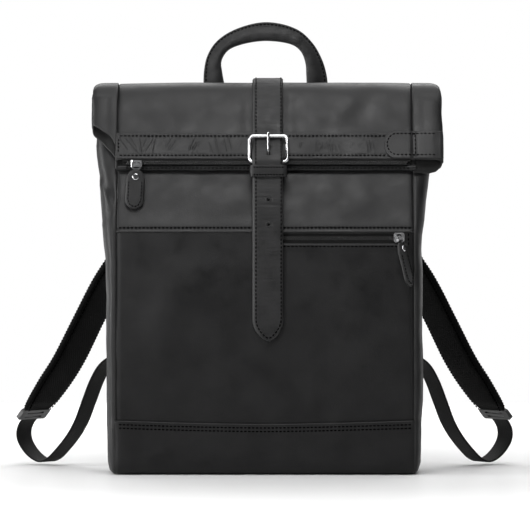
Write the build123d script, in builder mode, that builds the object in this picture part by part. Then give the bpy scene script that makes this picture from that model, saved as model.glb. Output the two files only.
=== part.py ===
"""A roll-top leather backpack: a stitched leather bag whose zipped mouth folds forward and is held by a buckled strap.

The frame is in millimetres. +Z is up, +Y points to the wearer's back and -Y to the front, and the origin is the
middle of the underside. The bag stands on its base with the top folded down and the buckle closed.
Leather and fabric pieces are plain closed solids of the right size. The metal and plastic pieces have their real shape.
"""

from build123d import *
from math import cos, radians, sin
import os

# ---- Driving dimensions -------------------------------------------------------------------------------------------
SEAM_X = 146.5  # the front and back panels reach this far each side of the middle
LEATHER = 2.0  # one layer of leather
STRAP_X = 4.0  # the closing strap sits a little to the right of the middle
STRAP_WIDTH = 29.8
STRAP_THICK = 3.0  # two layers, stitched

# ---- Side profile: points (y, z), from the bottom up ---------------------------------------------------------------
BASE_Z = 2.5
BAND_LINE = [(-42, BASE_Z), (-48, 8), (-51, 22), (-52, 54.6)]
POCKET_LINE = [(-52, 55), (-55, 110), (-56, 160), (-54.5, 210), (-50.5, 243)]
UPPER_LINE = [(-50.5, 244), (-38, 280), (-25, 312), (-12, 345), (0, 378)]
BACK_LINE = [(44, BASE_Z), (49, 10), (50, 30), (50, 300), (48, 338), (43, 366), (35, 384)]
ROOF_LINE = [(22, 391.8), (12, 391.9), (5.9, 390.7)]  # over the top as far as the fold's hinge at (5.5, 390.5)

# The folded top, from the bend forwards and down to the mouth
FLAP_OUTER = [(5.1, 390.3), (1, 388.6), (-5, 384), (-9.5, 377), (-23.5, 345), (-36.5, 317)]
FLAP_INNER = [(-2.4, 373), (-13.6, 345), (-26.6, 312), (-28.3, 307)]
BAND_Z = (317, 342)  # the facing band along the mouth
COIL_AT = (-35.6, 312.5)  # the mouth zip's coil
FRONT_TAPE_LINE = [(-31.2, 322), (-34, 315.8), (-35.8, 314.6)]
BACK_TAPE_LINE = [(-25.6, 322), (-31.4, 317.6), (-34.6, 314.8)]

# ---- The buckle and its straps: points (y, z) ---------------------------------------------------------------------
HEEL = (-42.4, 313.6)  # the buckle's heel bar
TOP_BAR = (-34.8, 339.4)
BAR_R = 1.9
FRAME_WIDTH = 37.8  # between the centres of the side bars
PRONG_R = 1.4
LOOP_R = (2.3, 4.0)  # the leather loop round the heel bar
BUCKLE_STRAP_LINE = [(-52.4, 247), (-50.6, 262), (-46.8, 284), (-43.2, 299), (-41.0, 309.6)]
KEEPER_Z = (298.2, 309.8)
STRAP_LINE = [
    (10, 394),
    (5, 392.7),
    (0.2, 390.5),
    (-7.5, 385.4),
    (-12.6, 377.6),
    (-25.6, 349),
    (-28.8, 341),
    (-37.8, 329),
    (-45.4, 320.5),
    (-48.4, 314),
    (-49, 307),
    (-49.9, 296.6),
]
TAIL_LINE = [(-50, 296), (-54, 278), (-57.4, 245), (-59.3, 200), (-60.3, 162), (-60, 146.5)]
TAIL_TIP_Z = 134.0
ROOT_LINE = [(52.4, 338), (50.8, 350), (46.8, 366), (38.4, 386.2), (22.6, 394), (10.8, 394.2)]
HOLES_Z = (275.2, 250.2)  # the punched holes that show below the keeper
HOLE_R = 1.6

# ---- Zips ---------------------------------------------------------------------------------------------------------
POCKET_ZIP_X = (-6.0, 140.0)
POCKET_ZIP_Z = 237.5
POCKET_WINDOW_Z = (232.0, 243.0)
POCKET_ZIP_Y = -48.6
POCKET_SLIDER_X = 134.5
MOUTH_SLIDER_X = -128.5
MOUTH_ZIP_HALF = 142.0
PULL_WIDTH = 15.0
PULL_THICK = 3.0

# ---- Carrying handle: arch in the XZ plane ------------------------------------------------------------------------
HANDLE_X = 2.0
HANDLE_Y = (53.0, 61.0)
HANDLE_PIVOT_Z = 372.0
HANDLE_END_LINE = [(51.0, 342), (52, 354), (54.2, 366)]
HANDLE_OUTER = [(-64.5, 395), (-61.5, 421), (-45, 443), (0, 460.5), (45, 443), (61.5, 421), (64.5, 395)]
HANDLE_INNER = [(44, 395), (43, 416), (29, 433.5), (0, 441), (-29, 433.5), (-43, 416), (-44, 395)]

# ---- Shoulder straps: each loop lies in an upright plane that leaves the back's edge outwards and backwards ---------
EDGE_X, EDGE_Y = 145.0, 69.0  # where the loop's plane passes the edge of the back
SPLAY = 34.0  # degrees from the back panel's plane
PAD_WIDTH, PAD_END_WIDTH, PAD_THICK = 54.0, 42.0, 9.0
WEB_WIDTH, WEB_THICK = 25.0, 1.8
PAD_RUN = [  # (distance along the plane, height)
    (2, 213),
    (20, 193),
    (46, 153),
    (72, 111),
    (89, 89),
    (107, 67),
    (114, 59),
]
PAD_ROOT_RUN = [(50, 56.8, 326), (64, 60.5, 307), (92, 69, 278), (120, 78.6, 249), (135, 77, 232)]  # (x, y, z)
PAD_ROOT_WIDTHS = [42, 46, 54, 56, 56, 56]
PAD_ROOT_TURNS = [0, 0.05, 0.2, 0.5, 0.85, 1]  # from flat on the back to square with the loop's plane
WEB_RUN = [
    (123.4, 48.4),
    (127.4, 44),
    (130.6, 38),
    (131.4, 31.5),
    (129.6, 24.5),
    (122.5, 15),
    (112.5, 7.5),
    (102, 4.2),
    (91.5, 7.5),
    (80.5, 16.5),
    (69.6, 27.5),
    (61.5, 37.5),
    (54.6, 48.5),
    (45, 69.5),
    (35, 90.5),
    (24, 106),
    (12, 114),
    (1, 116.3),
]
WEB_ARCH_RUN = [(0, 117.4), (-2.5, 120.2), (-7, 121.5), (-11.5, 119), (-14, 112)]  # behind the loop, over to its end
WEB_END_RUN = [(132.6, 61.2, 101), (131.6, 58.2, 90), (131, 56, 78)]  # (x, y, z)
WEB_TURNS = [1, 1, 1, 1, 1, 0.6, 0.25, 0]


# ---- Small helpers ------------------------------------------------------------------------------------------------
def beside(line, distance):
    """The points of a YZ line moved sideways. A line that climbs moves towards +Y."""
    moved = []
    for i, (y, z) in enumerate(line):
        before = line[max(i - 1, 0)]
        after = line[min(i + 1, len(line) - 1)]
        run = Vector(after[0] - before[0], after[1] - before[1]).normalized()
        moved.append((y + run.Y * distance, z - run.X * distance))
    return moved


def bent_profile(line, thickness):
    """Draws the edge view of a sheet that follows a YZ line, on a Plane.YZ sketch."""
    Polygon(*line, *reversed(beside(line, thickness)), align=None)


def at_height(line, z):
    """The y of a YZ line at a height."""
    for (y0, z0), (y1, z1) in zip(line, line[1:]):
        if min(z0, z1) <= z <= max(z0, z1) and z0 != z1:
            return y0 + (y1 - y0) * (z - z0) / (z1 - z0)
    raise ValueError(f"the line does not reach z = {z}")


def loop_point(side, run, height):
    """A point of a shoulder strap's loop. side is -1 for the left strap and 1 for the right one."""
    out = EDGE_X + run * cos(radians(SPLAY))
    return Vector(side * out, EDGE_Y + run * sin(radians(SPLAY)), height)


def loop_across(side):
    """The direction across a shoulder strap in its loop's plane, towards the strap's front edge."""
    return Vector(side * sin(radians(SPLAY)), -cos(radians(SPLAY)), 0)


def ribbon(centres, across, widths, thickness, level_start=False, level_end=False):
    """Lofts a strap through its centre points, each with its direction across and its width.

    A level end is cut by a horizontal plane, so that a strap can swing round an upright axis beside it.
    """
    last = len(centres) - 1
    sections = []
    for i, centre in enumerate(centres):
        ahead = centres[min(i + 1, last)] - centres[max(i - 1, 0)]
        if (level_start and i == 0) or (level_end and i == last):
            ahead = Vector(0, 0, ahead.Z)
        with BuildSketch(Plane(origin=centre, x_dir=across[i], z_dir=ahead)) as section:
            Rectangle(widths[i], thickness)
        sections.append(section.sketch.face())
    loft(sections, ruled=True)


def keep(builder, name):
    """Labels a finished sub-part and writes its STEP file."""
    builder.part.label = name
    export_step(builder.part, f"parts/{name}.step")


os.makedirs("parts", exist_ok=True)

# ---- Base ---------------------------------------------------------------------------------------------------------
with BuildPart() as base_panel:
    with BuildSketch():
        with Locations((0, 1)):
            RectangleRounded(2 * SEAM_X, 88, 12)
    extrude(amount=BASE_Z)
keep(base_panel, "base_panel")

with BuildPart() as base_board:
    with BuildSketch(Plane.XY.offset(BASE_Z + 0.1)):
        with Locations((0, 1)):
            RectangleRounded(2 * SEAM_X - 16, 76, 10)
    extrude(amount=2.0)
keep(base_board, "base_board")

# ---- Front ----------------------------------------------------------------------------------------------------------
with BuildPart() as front_base_band:
    with BuildSketch(Plane.YZ.offset(-SEAM_X)):
        bent_profile(BAND_LINE, LEATHER)
    extrude(amount=2 * SEAM_X)
keep(front_base_band, "front_base_band")

with BuildPart() as front_pocket_panel:
    with BuildSketch(Plane.YZ.offset(-SEAM_X)):
        bent_profile(POCKET_LINE, LEATHER)
    extrude(amount=2 * SEAM_X)
    window = sum(POCKET_WINDOW_Z) / 2
    with Locations(((POCKET_ZIP_X[0] + POCKET_ZIP_X[1]) / 2, -50, window)):
        Box(
            POCKET_ZIP_X[1] - POCKET_ZIP_X[0],
            20,
            POCKET_WINDOW_Z[1] - POCKET_WINDOW_Z[0],
            mode=Mode.SUBTRACT,
        )
keep(front_pocket_panel, "front_pocket_panel")

with BuildPart() as front_upper_panel:
    with BuildSketch(Plane.YZ.offset(-SEAM_X)):
        bent_profile(UPPER_LINE, LEATHER)
    extrude(amount=2 * SEAM_X)
keep(front_upper_panel, "front_upper_panel")

# ---- Sides: one gusset each side, bowed outwards, wider where the tube of the bag flattens at the top ----------------
GUSSET_LEVELS = [(3, 148.5), (9, 153), (22, 156.5), (60, 157.5), (150, 157.5), (243, 160), (312, 164), (374, 168)]
FRONT_LINE = BAND_LINE + POCKET_LINE + UPPER_LINE


def gusset(side):
    """Lofts one side gusset through crescents, each bowed out to the width of its level."""
    sections = []
    for z, bow in GUSSET_LEVELS:
        front, back = at_height(FRONT_LINE, z) + 0.2, at_height(BACK_LINE, z) - 0.2
        seam = side * (SEAM_X + 0.2)
        middle = (front + back) / 2
        with BuildSketch(Plane.XY.offset(z)) as section:
            with BuildLine():
                ThreePointArc((seam, front), (side * bow, middle), (seam, back))
                Line((seam, back), (seam, back - 2.6))
                ThreePointArc((seam, back - 2.6), (side * (bow - LEATHER), middle), (seam, front + 2.6))
                Line((seam, front + 2.6), (seam, front))
            make_face()
        sections.append(section.sketch.face())
    loft(sections, ruled=True)


for side, hand in ((-1, "left"), (1, "right")):
    with BuildPart() as side_gusset:
        gusset(side)
    keep(side_gusset, f"side_gusset_{hand}")

# ---- Back: panel with the turned-over lip, pads, yoke and corner tabs ------------------------------------------------
with BuildPart() as back_panel:
    with BuildSketch(Plane.YZ.offset(-SEAM_X)):
        bent_profile(BACK_LINE + ROOF_LINE, -LEATHER)
    extrude(amount=2 * SEAM_X)
keep(back_panel, "back_panel")

with BuildPart() as back_pads:
    with BuildSketch(Plane.XZ.offset(-50.1)):
        with Locations((-58, 165), (58, 165)):
            RectangleRounded(84, 230, 16)
    extrude(amount=-6.0)
    chamfer(back_pads.faces().sort_by(Axis.Y)[-1].edges(), 3)
keep(back_pads, "back_pads")

with BuildPart() as back_yoke:
    with BuildSketch(Plane.YZ.offset(-92)):
        bent_profile([(50.1, 298), (50.1, 300.1), (48.2, 338), (44.4, 360)], 1.6)
    extrude(amount=184)
keep(back_yoke, "back_yoke")

for side, hand in ((-1, "left"), (1, "right")):
    with BuildPart() as corner_tab:
        with BuildSketch(Plane.XZ.offset(-50.1)):
            with BuildLine():
                Polyline(
                    (side * 142, 34),
                    (side * 142, 92),
                    (side * 120, 96),
                    (side * 116, 78),
                    close=True,
                )
            make_face()
        extrude(amount=-3.4)
    keep(corner_tab, f"corner_tab_{hand}")

# ---- Inside ---------------------------------------------------------------------------------------------------------
LINING_LEVELS = [(6, -36, 40), (12, -45, 46), (58, -48.5, 46.6), (160, -48.5, 46.6), (243, -43, 46.6), (372, 5, 34)]


def lining_block(inset):
    """Lofts the inside of the bag, set back by an inset from the leather."""
    levels = [(z + (inset if i == 0 else 0), f, b) for i, (z, f, b) in enumerate(LINING_LEVELS)]
    sections = []
    for z, front, back in levels:
        with BuildSketch(Plane.XY.offset(z)) as section:
            with Locations((0, (front + back) / 2)):
                Rectangle(2 * (SEAM_X - 1.5 - inset), back - front - 2 * inset)
        sections.append(section.sketch.face())
    loft(sections, ruled=True)


with BuildPart() as lining_inside:
    lining_block(0.8)
with BuildPart() as lining:
    lining_block(0)
    add(lining_inside.part, mode=Mode.SUBTRACT)
keep(lining, "lining")

with BuildPart() as laptop_divider:
    with BuildSketch(Plane.XZ.offset(-24)):
        with Locations((0, 137)):
            RectangleRounded(262, 256, 12)
    extrude(amount=-5)
keep(laptop_divider, "laptop_divider")

with BuildPart() as pocket_bag:
    with BuildSketch(Plane.XZ.offset(49.9)):
        with Locations((67, 168)):
            RectangleRounded(150, 118, 8)
    extrude(amount=-0.8)
keep(pocket_bag, "pocket_bag")

# ---- Pocket zip ---------------------------------------------------------------------------------------------------
with BuildPart() as pocket_zip_tape:
    with Locations(((POCKET_ZIP_X[0] + POCKET_ZIP_X[1]) / 2, -47.2, POCKET_ZIP_Z)):
        Box(POCKET_ZIP_X[1] - POCKET_ZIP_X[0] + 3, 0.8, 15)
keep(pocket_zip_tape, "pocket_zip_tape")

with BuildPart() as pocket_zip_coil:
    with Locations(((POCKET_ZIP_X[0] + POCKET_ZIP_X[1]) / 2, POCKET_ZIP_Y, POCKET_ZIP_Z)):
        Box(POCKET_ZIP_X[1] - POCKET_ZIP_X[0] - 4, 1.9, 4.2)
    fillet(pocket_zip_coil.edges().filter_by(Axis.X), 0.8)
keep(pocket_zip_coil, "pocket_zip_coil")

# ---- The folded top -------------------------------------------------------------------------------------------------
with BuildPart() as flap_outer_panel:
    with BuildSketch(Plane.YZ.offset(-SEAM_X)):
        bent_profile(FLAP_OUTER, -LEATHER)
    extrude(amount=2 * SEAM_X)
keep(flap_outer_panel, "flap_outer_panel")

with BuildPart() as flap_inner_panel:
    with BuildSketch(Plane.YZ.offset(-SEAM_X)):
        bent_profile(FLAP_INNER, LEATHER)
    extrude(amount=2 * SEAM_X)
keep(flap_inner_panel, "flap_inner_panel")

BAND_FACE = [(at_height(FLAP_OUTER, z) - 0.1, z) for z in BAND_Z]
with BuildPart() as mouth_band:
    with BuildSketch(Plane.YZ.offset(-SEAM_X)):
        bent_profile(BAND_FACE, -1.4)
    extrude(amount=2 * SEAM_X)
keep(mouth_band, "mouth_band")

FLAP_SIDE = [(-6, 383), (-9.5, 377), (-23.5, 345), (-35.5, 319), (-28.5, 308), (-12.8, 345), (-1.5, 374)]
for hand, near, far in (("left", -SEAM_X - 0.3, -172), ("right", SEAM_X + 0.3, 176)):
    with BuildPart() as flap_gusset:
        with BuildSketch(Plane.YZ.offset(near)):
            with BuildLine():
                Polyline(*FLAP_SIDE, close=True)
            make_face()
        extrude(amount=far - near)
    keep(flap_gusset, f"flap_gusset_{hand}")

TAB_FACE = [(at_height(FLAP_OUTER, z) - 1.8, z) for z in (318, 346)]
with BuildPart() as mouth_tab:
    with BuildSketch(Plane.YZ.offset(124)):
        bent_profile(TAB_FACE, -1.6)
    extrude(amount=54)
keep(mouth_tab, "mouth_tab")

with BuildPart() as mouth_zip_tape:
    with BuildSketch(Plane.YZ.offset(-MOUTH_ZIP_HALF)):
        bent_profile(FRONT_TAPE_LINE, -0.6)
        bent_profile(BACK_TAPE_LINE, 0.6)
    extrude(amount=2 * MOUTH_ZIP_HALF)
keep(mouth_zip_tape, "mouth_zip_tape")

with BuildPart() as mouth_zip_coil:
    with Locations((0, *COIL_AT)):
        Box(2 * MOUTH_ZIP_HALF, 4.4, 2.4)
    fillet(mouth_zip_coil.edges().filter_by(Axis.X), 1.0)
keep(mouth_zip_coil, "mouth_zip_coil")

# ---- The closing strap: sewn to the back, over the fold, through the buckle --------------------------------------------
STRAP_LEFT = STRAP_X - STRAP_WIDTH / 2
with BuildPart() as closure_strap_root:
    with BuildSketch(Plane.YZ.offset(STRAP_LEFT)):
        bent_profile(beside(ROOT_LINE, -1.5), STRAP_THICK)
    extrude(amount=STRAP_WIDTH)
keep(closure_strap_root, "closure_strap_root")

with BuildPart() as closure_strap_upper:
    with BuildSketch(Plane.YZ.offset(STRAP_LEFT)):
        bent_profile(beside(STRAP_LINE, -1.5), STRAP_THICK)
    extrude(amount=STRAP_WIDTH)
    with Locations((STRAP_X, -40, 325)):
        Box(4.0, 18, 17, mode=Mode.SUBTRACT)
keep(closure_strap_upper, "closure_strap_upper")

with BuildPart() as closure_strap_tail:
    with BuildSketch(Plane.YZ.offset(STRAP_LEFT)):
        bent_profile(beside(TAIL_LINE, -1.5), STRAP_THICK)
    extrude(amount=STRAP_WIDTH)
    with BuildSketch(Plane.XZ.offset(58.3)):
        with BuildLine():
            Line((STRAP_LEFT + STRAP_WIDTH, 148.5), (STRAP_LEFT, 148.5))
            ThreePointArc(
                (STRAP_LEFT, 148.5),
                (STRAP_LEFT + STRAP_WIDTH * 0.22, 138.5),
                (STRAP_X, TAIL_TIP_Z),
            )
            ThreePointArc(
                (STRAP_X, TAIL_TIP_Z),
                (STRAP_LEFT + STRAP_WIDTH * 0.78, 138.5),
                (STRAP_LEFT + STRAP_WIDTH, 148.5),
            )
        make_face()
    extrude(amount=STRAP_THICK)
    with Locations(*[Location((STRAP_X, -56, z), (90, 0, 0)) for z in HOLES_Z]):
        Cylinder(HOLE_R, 30, mode=Mode.SUBTRACT)
keep(closure_strap_tail, "closure_strap_tail")

# ---- The buckle's strap with its loop and keeper ----------------------------------------------------------------------
with BuildPart() as buckle_strap:
    with BuildSketch(Plane.YZ.offset(STRAP_LEFT + 0.5)):
        bent_profile(BUCKLE_STRAP_LINE, -2.2)
        with Locations(HEEL):
            Circle(LOOP_R[1])
    extrude(amount=STRAP_WIDTH - 1)
    with BuildSketch(Plane.YZ.offset(STRAP_LEFT)):
        with Locations(HEEL):
            Circle(LOOP_R[0])
    extrude(amount=STRAP_WIDTH, mode=Mode.SUBTRACT)
    with Locations((STRAP_X, HEEL[0], HEEL[1] + 0.5)):
        Box(6.5, 9, 9.5, mode=Mode.SUBTRACT)
    with Locations((STRAP_X - 16.5, *HEEL), (STRAP_X + 16.5, *HEEL)):
        Box(4, 12, 13, mode=Mode.SUBTRACT)
keep(buckle_strap, "buckle_strap")

with BuildPart() as strap_keeper:
    with BuildSketch(Plane.XY.offset(KEEPER_Z[0])):
        with Locations((STRAP_X, -46.0)):
            RectangleRounded(STRAP_WIDTH + 5.8, 15.0, 3)
            RectangleRounded(STRAP_WIDTH + 3.0, 12.2, 1.8, mode=Mode.SUBTRACT)
    extrude(amount=KEEPER_Z[1] - KEEPER_Z[0])
keep(strap_keeper, "strap_keeper")

# ---- Buckle -------------------------------------------------------------------------------------------------------
ALONG = Vector(0, TOP_BAR[0] - HEEL[0], TOP_BAR[1] - HEEL[1])  # from the heel bar to the top bar
OUTWARD = Vector(0, -ALONG.Z, ALONG.Y).normalized()  # out of the buckle's front
BUCKLE_MIDDLE = Vector(STRAP_X, *HEEL) + ALONG * 0.5
BUCKLE_PLANE = Plane(origin=BUCKLE_MIDDLE, x_dir=(1, 0, 0), z_dir=OUTWARD)

with BuildPart() as buckle_frame:
    with BuildSketch(BUCKLE_PLANE) as outline:
        RectangleRounded(FRAME_WIDTH, ALONG.length, 4)
    wire = outline.sketch.face().outer_wire()
    with BuildSketch(Plane(origin=wire @ 0, z_dir=wire % 0)) as bar:
        Circle(BAR_R)
    sweep(bar.sketch, path=wire, mode=Mode.REPLACE)
keep(buckle_frame, "buckle_frame")

PRONG_END = Vector(STRAP_X, *TOP_BAR) + OUTWARD * (BAR_R + PRONG_R + 0.1)
PRONG_START = Vector(STRAP_X, *HEEL) + OUTWARD * 0.9
PRONG_RUN = PRONG_END - PRONG_START
with BuildPart() as buckle_prong:
    with BuildSketch(Plane(origin=PRONG_START, z_dir=PRONG_RUN)):
        Circle(PRONG_R)
    extrude(amount=PRONG_RUN.length + 3.0)
    with Locations(Location((STRAP_X, *HEEL), (0, 90, 0))):
        Cylinder(BAR_R + 1.5, 4.4)
        Cylinder(BAR_R + 0.08, 10, mode=Mode.SUBTRACT)
    fillet(buckle_prong.faces().sort_by(Axis.Z)[-1].edges(), 0.8)
keep(buckle_prong, "buckle_prong")

# ---- Zip sliders and their leather pulls ----------------------------------------------------------------------------
MOUTH_RING_Y, MOUTH_RING_Z = -41.6, 309.4  # where the pull's ring hangs on the slider's lug
MOUTH_PULL_LEAN = -6.5  # degrees, so that the pull's tip rests on the sloping front
MOUTH_PIVOT = (-41.24, 312.58)  # the ring's top bar, which turns in the lug's hole


def pull(name, place, length=43.0):
    """Makes a ring, a stitched leather tab and its rivet. place carries them from their own frame, ring at the top."""
    with BuildPart() as pull_ring:
        with BuildSketch(Plane.XZ.offset(-0.8)):
            RectangleRounded(9.4, 8.0, 2.4)
            RectangleRounded(6.2, 4.8, 1.4, mode=Mode.SUBTRACT)
        extrude(amount=1.6)
    with BuildPart() as pull_tab:
        top, shoulder, low = -4.4, -13.4, PULL_WIDTH / 2 - length
        half, neck = PULL_WIDTH / 2, PULL_WIDTH * 0.34
        with BuildSketch(Plane.XZ.offset(-PULL_THICK / 2)):
            with BuildLine():
                Polyline((half, low), (half, shoulder), (neck, top), (-neck, top), (-half, shoulder), (-half, low))
                ThreePointArc((-half, low), (0, -length), (half, low))
            make_face()
        extrude(amount=PULL_THICK)
        with Locations(Location((0, 0, -11.4), (90, 0, 0))):
            Cylinder(1.7, 10, mode=Mode.SUBTRACT)
    with BuildPart() as pull_rivet:
        with Locations(Location((0, 0, -11.4), (90, 0, 0))):
            Cylinder(1.65, PULL_THICK + 0.2)
        with Locations(Location((0, -PULL_THICK / 2 - 0.75, -11.4), (90, 0, 0))):
            Cylinder(3.4, 1.3)
        with Locations(Location((0, PULL_THICK / 2 + 0.75, -11.4), (90, 0, 0))):
            Cylinder(3.4, 1.3)
        fillet(pull_rivet.faces().sort_by(Axis.Y)[0].edges(), 0.9)
    for builder, piece in ((pull_ring, "ring"), (pull_tab, "tab"), (pull_rivet, "rivet")):
        moved = place * builder.part
        moved.label = f"{name}_{piece}"
        export_step(moved, f"parts/{name}_{piece}.step")


with BuildPart() as mouth_slider:
    with BuildSketch(Plane.XY.offset(308.4)):
        with Locations((MOUTH_SLIDER_X, COIL_AT[0])):
            RectangleRounded(12, 8.4, 2.6)
    extrude(amount=6.8)
    with Locations((MOUTH_SLIDER_X, COIL_AT[0], COIL_AT[1] + 0.2)):
        Box(14, 5.6, 3.4, mode=Mode.SUBTRACT)
        with Locations((0, 0, 2.6)):
            Box(14, 5.6, 4, mode=Mode.SUBTRACT)
    with Locations((MOUTH_SLIDER_X, MOUTH_PIVOT[0] + 0.1, MOUTH_PIVOT[1])):
        Box(2.2, 4.6, 4.4)
    with Locations(Location((MOUTH_SLIDER_X, *MOUTH_PIVOT), (0, 90, 0))):
        Cylinder(1.3, 2.2, mode=Mode.SUBTRACT)
keep(mouth_slider, "mouth_slider")
pull("mouth_pull", Location((MOUTH_SLIDER_X, MOUTH_RING_Y, MOUTH_RING_Z), (MOUTH_PULL_LEAN, 3, 0)))

with BuildPart() as pocket_slider:
    with BuildSketch(Plane.XZ.offset(46.9)):
        with Locations((POCKET_SLIDER_X, POCKET_ZIP_Z)):
            RectangleRounded(11, 9.6, 2.4)
    extrude(amount=6.2)
    with Locations((POCKET_SLIDER_X, POCKET_ZIP_Y, POCKET_ZIP_Z)):
        Box(14, 3.0, 5.0, mode=Mode.SUBTRACT)
        with Locations((0, 2.0, 0)):
            Box(14, 3, 20, mode=Mode.SUBTRACT)
    with Locations((POCKET_SLIDER_X, -55.4, POCKET_ZIP_Z)):
        Box(9.0, 5.2, 1.4)
        with Locations((0, 0.65, 0)):
            Box(6.4, 4.1, 1.4, mode=Mode.SUBTRACT)
keep(pocket_slider, "pocket_slider")
POCKET_RING_AT = (POCKET_SLIDER_X, -58.9, POCKET_ZIP_Z - 0.6)
pull("pocket_pull", Location(POCKET_RING_AT, (-7.5, -14, 62)))

# ---- Carrying handle ------------------------------------------------------------------------------------------------
with BuildPart() as handle:
    with BuildSketch(Plane.XZ.offset(-HANDLE_Y[0])):
        with BuildLine():
            low = HANDLE_PIVOT_Z
            Line((HANDLE_X + 63.5, low), (HANDLE_X + 64.5, 395))
            Spline(*[(HANDLE_X + x, z) for x, z in reversed(HANDLE_OUTER)])
            Line((HANDLE_X - 64.5, 395), (HANDLE_X - 63.5, low))
            Line((HANDLE_X - 63.5, low), (HANDLE_X - 43, low))
            Line((HANDLE_X - 43, low), (HANDLE_X - 44, 395))
            Spline(*[(HANDLE_X + x, z) for x, z in reversed(HANDLE_INNER)])
            Line((HANDLE_X + 44, 395), (HANDLE_X + 43, low))
            Line((HANDLE_X + 43, low), (HANDLE_X + 63.5, low))
        make_face()
    extrude(amount=-(HANDLE_Y[1] - HANDLE_Y[0]))
keep(handle, "handle")

with BuildPart() as handle_ends:
    for x in (-53.2, 53.2):
        with BuildSketch(Plane.YZ.offset(HANDLE_X + x - 10)):
            bent_profile(HANDLE_END_LINE, 3.4)
        extrude(amount=20)
keep(handle_ends, "handle_ends")

# ---- Shoulder straps --------------------------------------------------------------------------------------------------
for side, hand in ((-1, "left"), (1, "right")):
    across = loop_across(side)
    flat = Vector(side, 0, 0)
    pad_centres = [loop_point(side, u, z) for u, z in PAD_RUN]
    with BuildPart() as strap_pad:
        widths = [PAD_WIDTH] * (len(PAD_RUN) - 2) + [(PAD_WIDTH + PAD_END_WIDTH) / 2, PAD_END_WIDTH]
        ribbon(pad_centres, [across] * len(PAD_RUN), widths, PAD_THICK, level_start=True)
    keep(strap_pad, f"strap_pad_{hand}")

    with BuildPart() as strap_root:
        centres = [Vector(side * x, y, z) for x, y, z in PAD_ROOT_RUN] + [loop_point(side, 0, 217)]
        turns = [(flat * (1 - t) + across * t).normalized() for t in PAD_ROOT_TURNS]
        ribbon(centres, turns, PAD_ROOT_WIDTHS, PAD_THICK, level_end=True)
    keep(strap_root, f"strap_root_{hand}")

    web_centres = [loop_point(side, u, z) for u, z in WEB_RUN]
    with BuildPart() as strap_webbing:
        ribbon(web_centres, [across] * len(WEB_RUN), [WEB_WIDTH] * len(WEB_RUN), WEB_THICK, level_end=True)
    keep(strap_webbing, f"strap_webbing_{hand}")

    with BuildPart() as webbing_end:
        centres = [loop_point(side, u, z) for u, z in WEB_ARCH_RUN]
        centres += [Vector(side * x, y, z) for x, y, z in WEB_END_RUN]
        turns = [(flat * (1 - t) + across * t).normalized() for t in WEB_TURNS]
        ribbon(centres, turns, [WEB_WIDTH] * len(centres), WEB_THICK, level_start=True)
    keep(webbing_end, f"webbing_end_{hand}")

    lock_run = web_centres[0] - pad_centres[-1]
    with BuildPart() as ladder_lock:
        with BuildSketch(
            Plane(
                origin=pad_centres[-1] + lock_run * 0.5,
                x_dir=across,
                z_dir=across.cross(lock_run),
            )
        ):
            RectangleRounded(46, 13.0, 3)
            with GridLocations(0, 5.2, 1, 2):
                Rectangle(28, 2.4, mode=Mode.SUBTRACT)
        extrude(amount=2.0, both=True)
    keep(ladder_lock, f"ladder_lock_{hand}")
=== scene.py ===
import math

import bmesh
import bpy
import mathutils
import numpy as np
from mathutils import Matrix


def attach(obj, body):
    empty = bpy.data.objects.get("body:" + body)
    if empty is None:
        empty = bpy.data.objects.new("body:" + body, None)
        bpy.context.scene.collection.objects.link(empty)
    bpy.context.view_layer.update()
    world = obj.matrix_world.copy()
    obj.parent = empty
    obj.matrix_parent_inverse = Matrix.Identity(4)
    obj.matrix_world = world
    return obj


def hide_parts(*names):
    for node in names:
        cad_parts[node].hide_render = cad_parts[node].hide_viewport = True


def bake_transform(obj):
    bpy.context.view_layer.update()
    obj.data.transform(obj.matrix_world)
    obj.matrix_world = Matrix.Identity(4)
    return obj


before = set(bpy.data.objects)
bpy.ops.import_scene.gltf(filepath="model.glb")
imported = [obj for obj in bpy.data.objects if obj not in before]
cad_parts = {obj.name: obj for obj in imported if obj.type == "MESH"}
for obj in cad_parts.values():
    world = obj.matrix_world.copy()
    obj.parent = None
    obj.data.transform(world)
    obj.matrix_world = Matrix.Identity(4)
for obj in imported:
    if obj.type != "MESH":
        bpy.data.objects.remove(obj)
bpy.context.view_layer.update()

MM = 0.001
ACROSS = np.array([1.0, 0.0, 0.0])
UP = np.array([0.0, 0.0, 1.0])

# ---- Sizes that the pieces share, in millimetres
SEAM = 146.5  # half the width between the side seams
SEAM_AT = {-1: -149.2, 1: 150.0}  # where the left and right seams really run
STRAP_X, STRAP_HALF = 4.0, 14.9  # the closing strap's middle and half width
STITCH_IN = 2.3  # from a strap's edge to its stitching

# Points (y, z) of the bag's side profile
BAND = [(-43.5, 0.6), (-49.2, 2.6), (-51.8, 9.5), (-52.7, 30), (-53.4, 56)]
POCKET = [(-50.9, 47), (-54, 100), (-55.6, 150), (-54.6, 205), (-51.2, 243.5)]
UPPER = [(-52.2, 243.6), (-45.2, 262), (-38, 281), (-25, 312), (-12, 345), (-3.4, 368), (-1.4, 375.5), (-2.2, 378.6)]
LIP = [(-4.0, 377), (-5.4, 371), (-16.2, 345), (-28.8, 313.5), (-31.2, 306.4)]
BACK = [(43.5, 1.0), (48.6, 9), (50, 28), (50, 120), (50, 210), (50, 300), (48, 338), (43.4, 367), (35.8, 386)]
ROOF = [(23, 394.6), (12, 395.6), (3, 393.4), (-5, 387)]
FLAP = [(-11, 376), (-23.5, 345), (-36.5, 317)]


# ---- Numbers
def lengths(path):
    """The distance along a path at each of its points."""
    return np.concatenate([[0], np.cumsum(np.linalg.norm(np.diff(path, axis=0), axis=1))])


def along(path, distances):
    """The points at these distances along a path."""
    s = lengths(path)
    return np.stack([np.interp(distances, s, column) for column in path.T], axis=-1)


def even_steps(start, end, step):
    return np.linspace(start, end, max(int(round(abs(end - start) / step)), 1) + 1)


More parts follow.
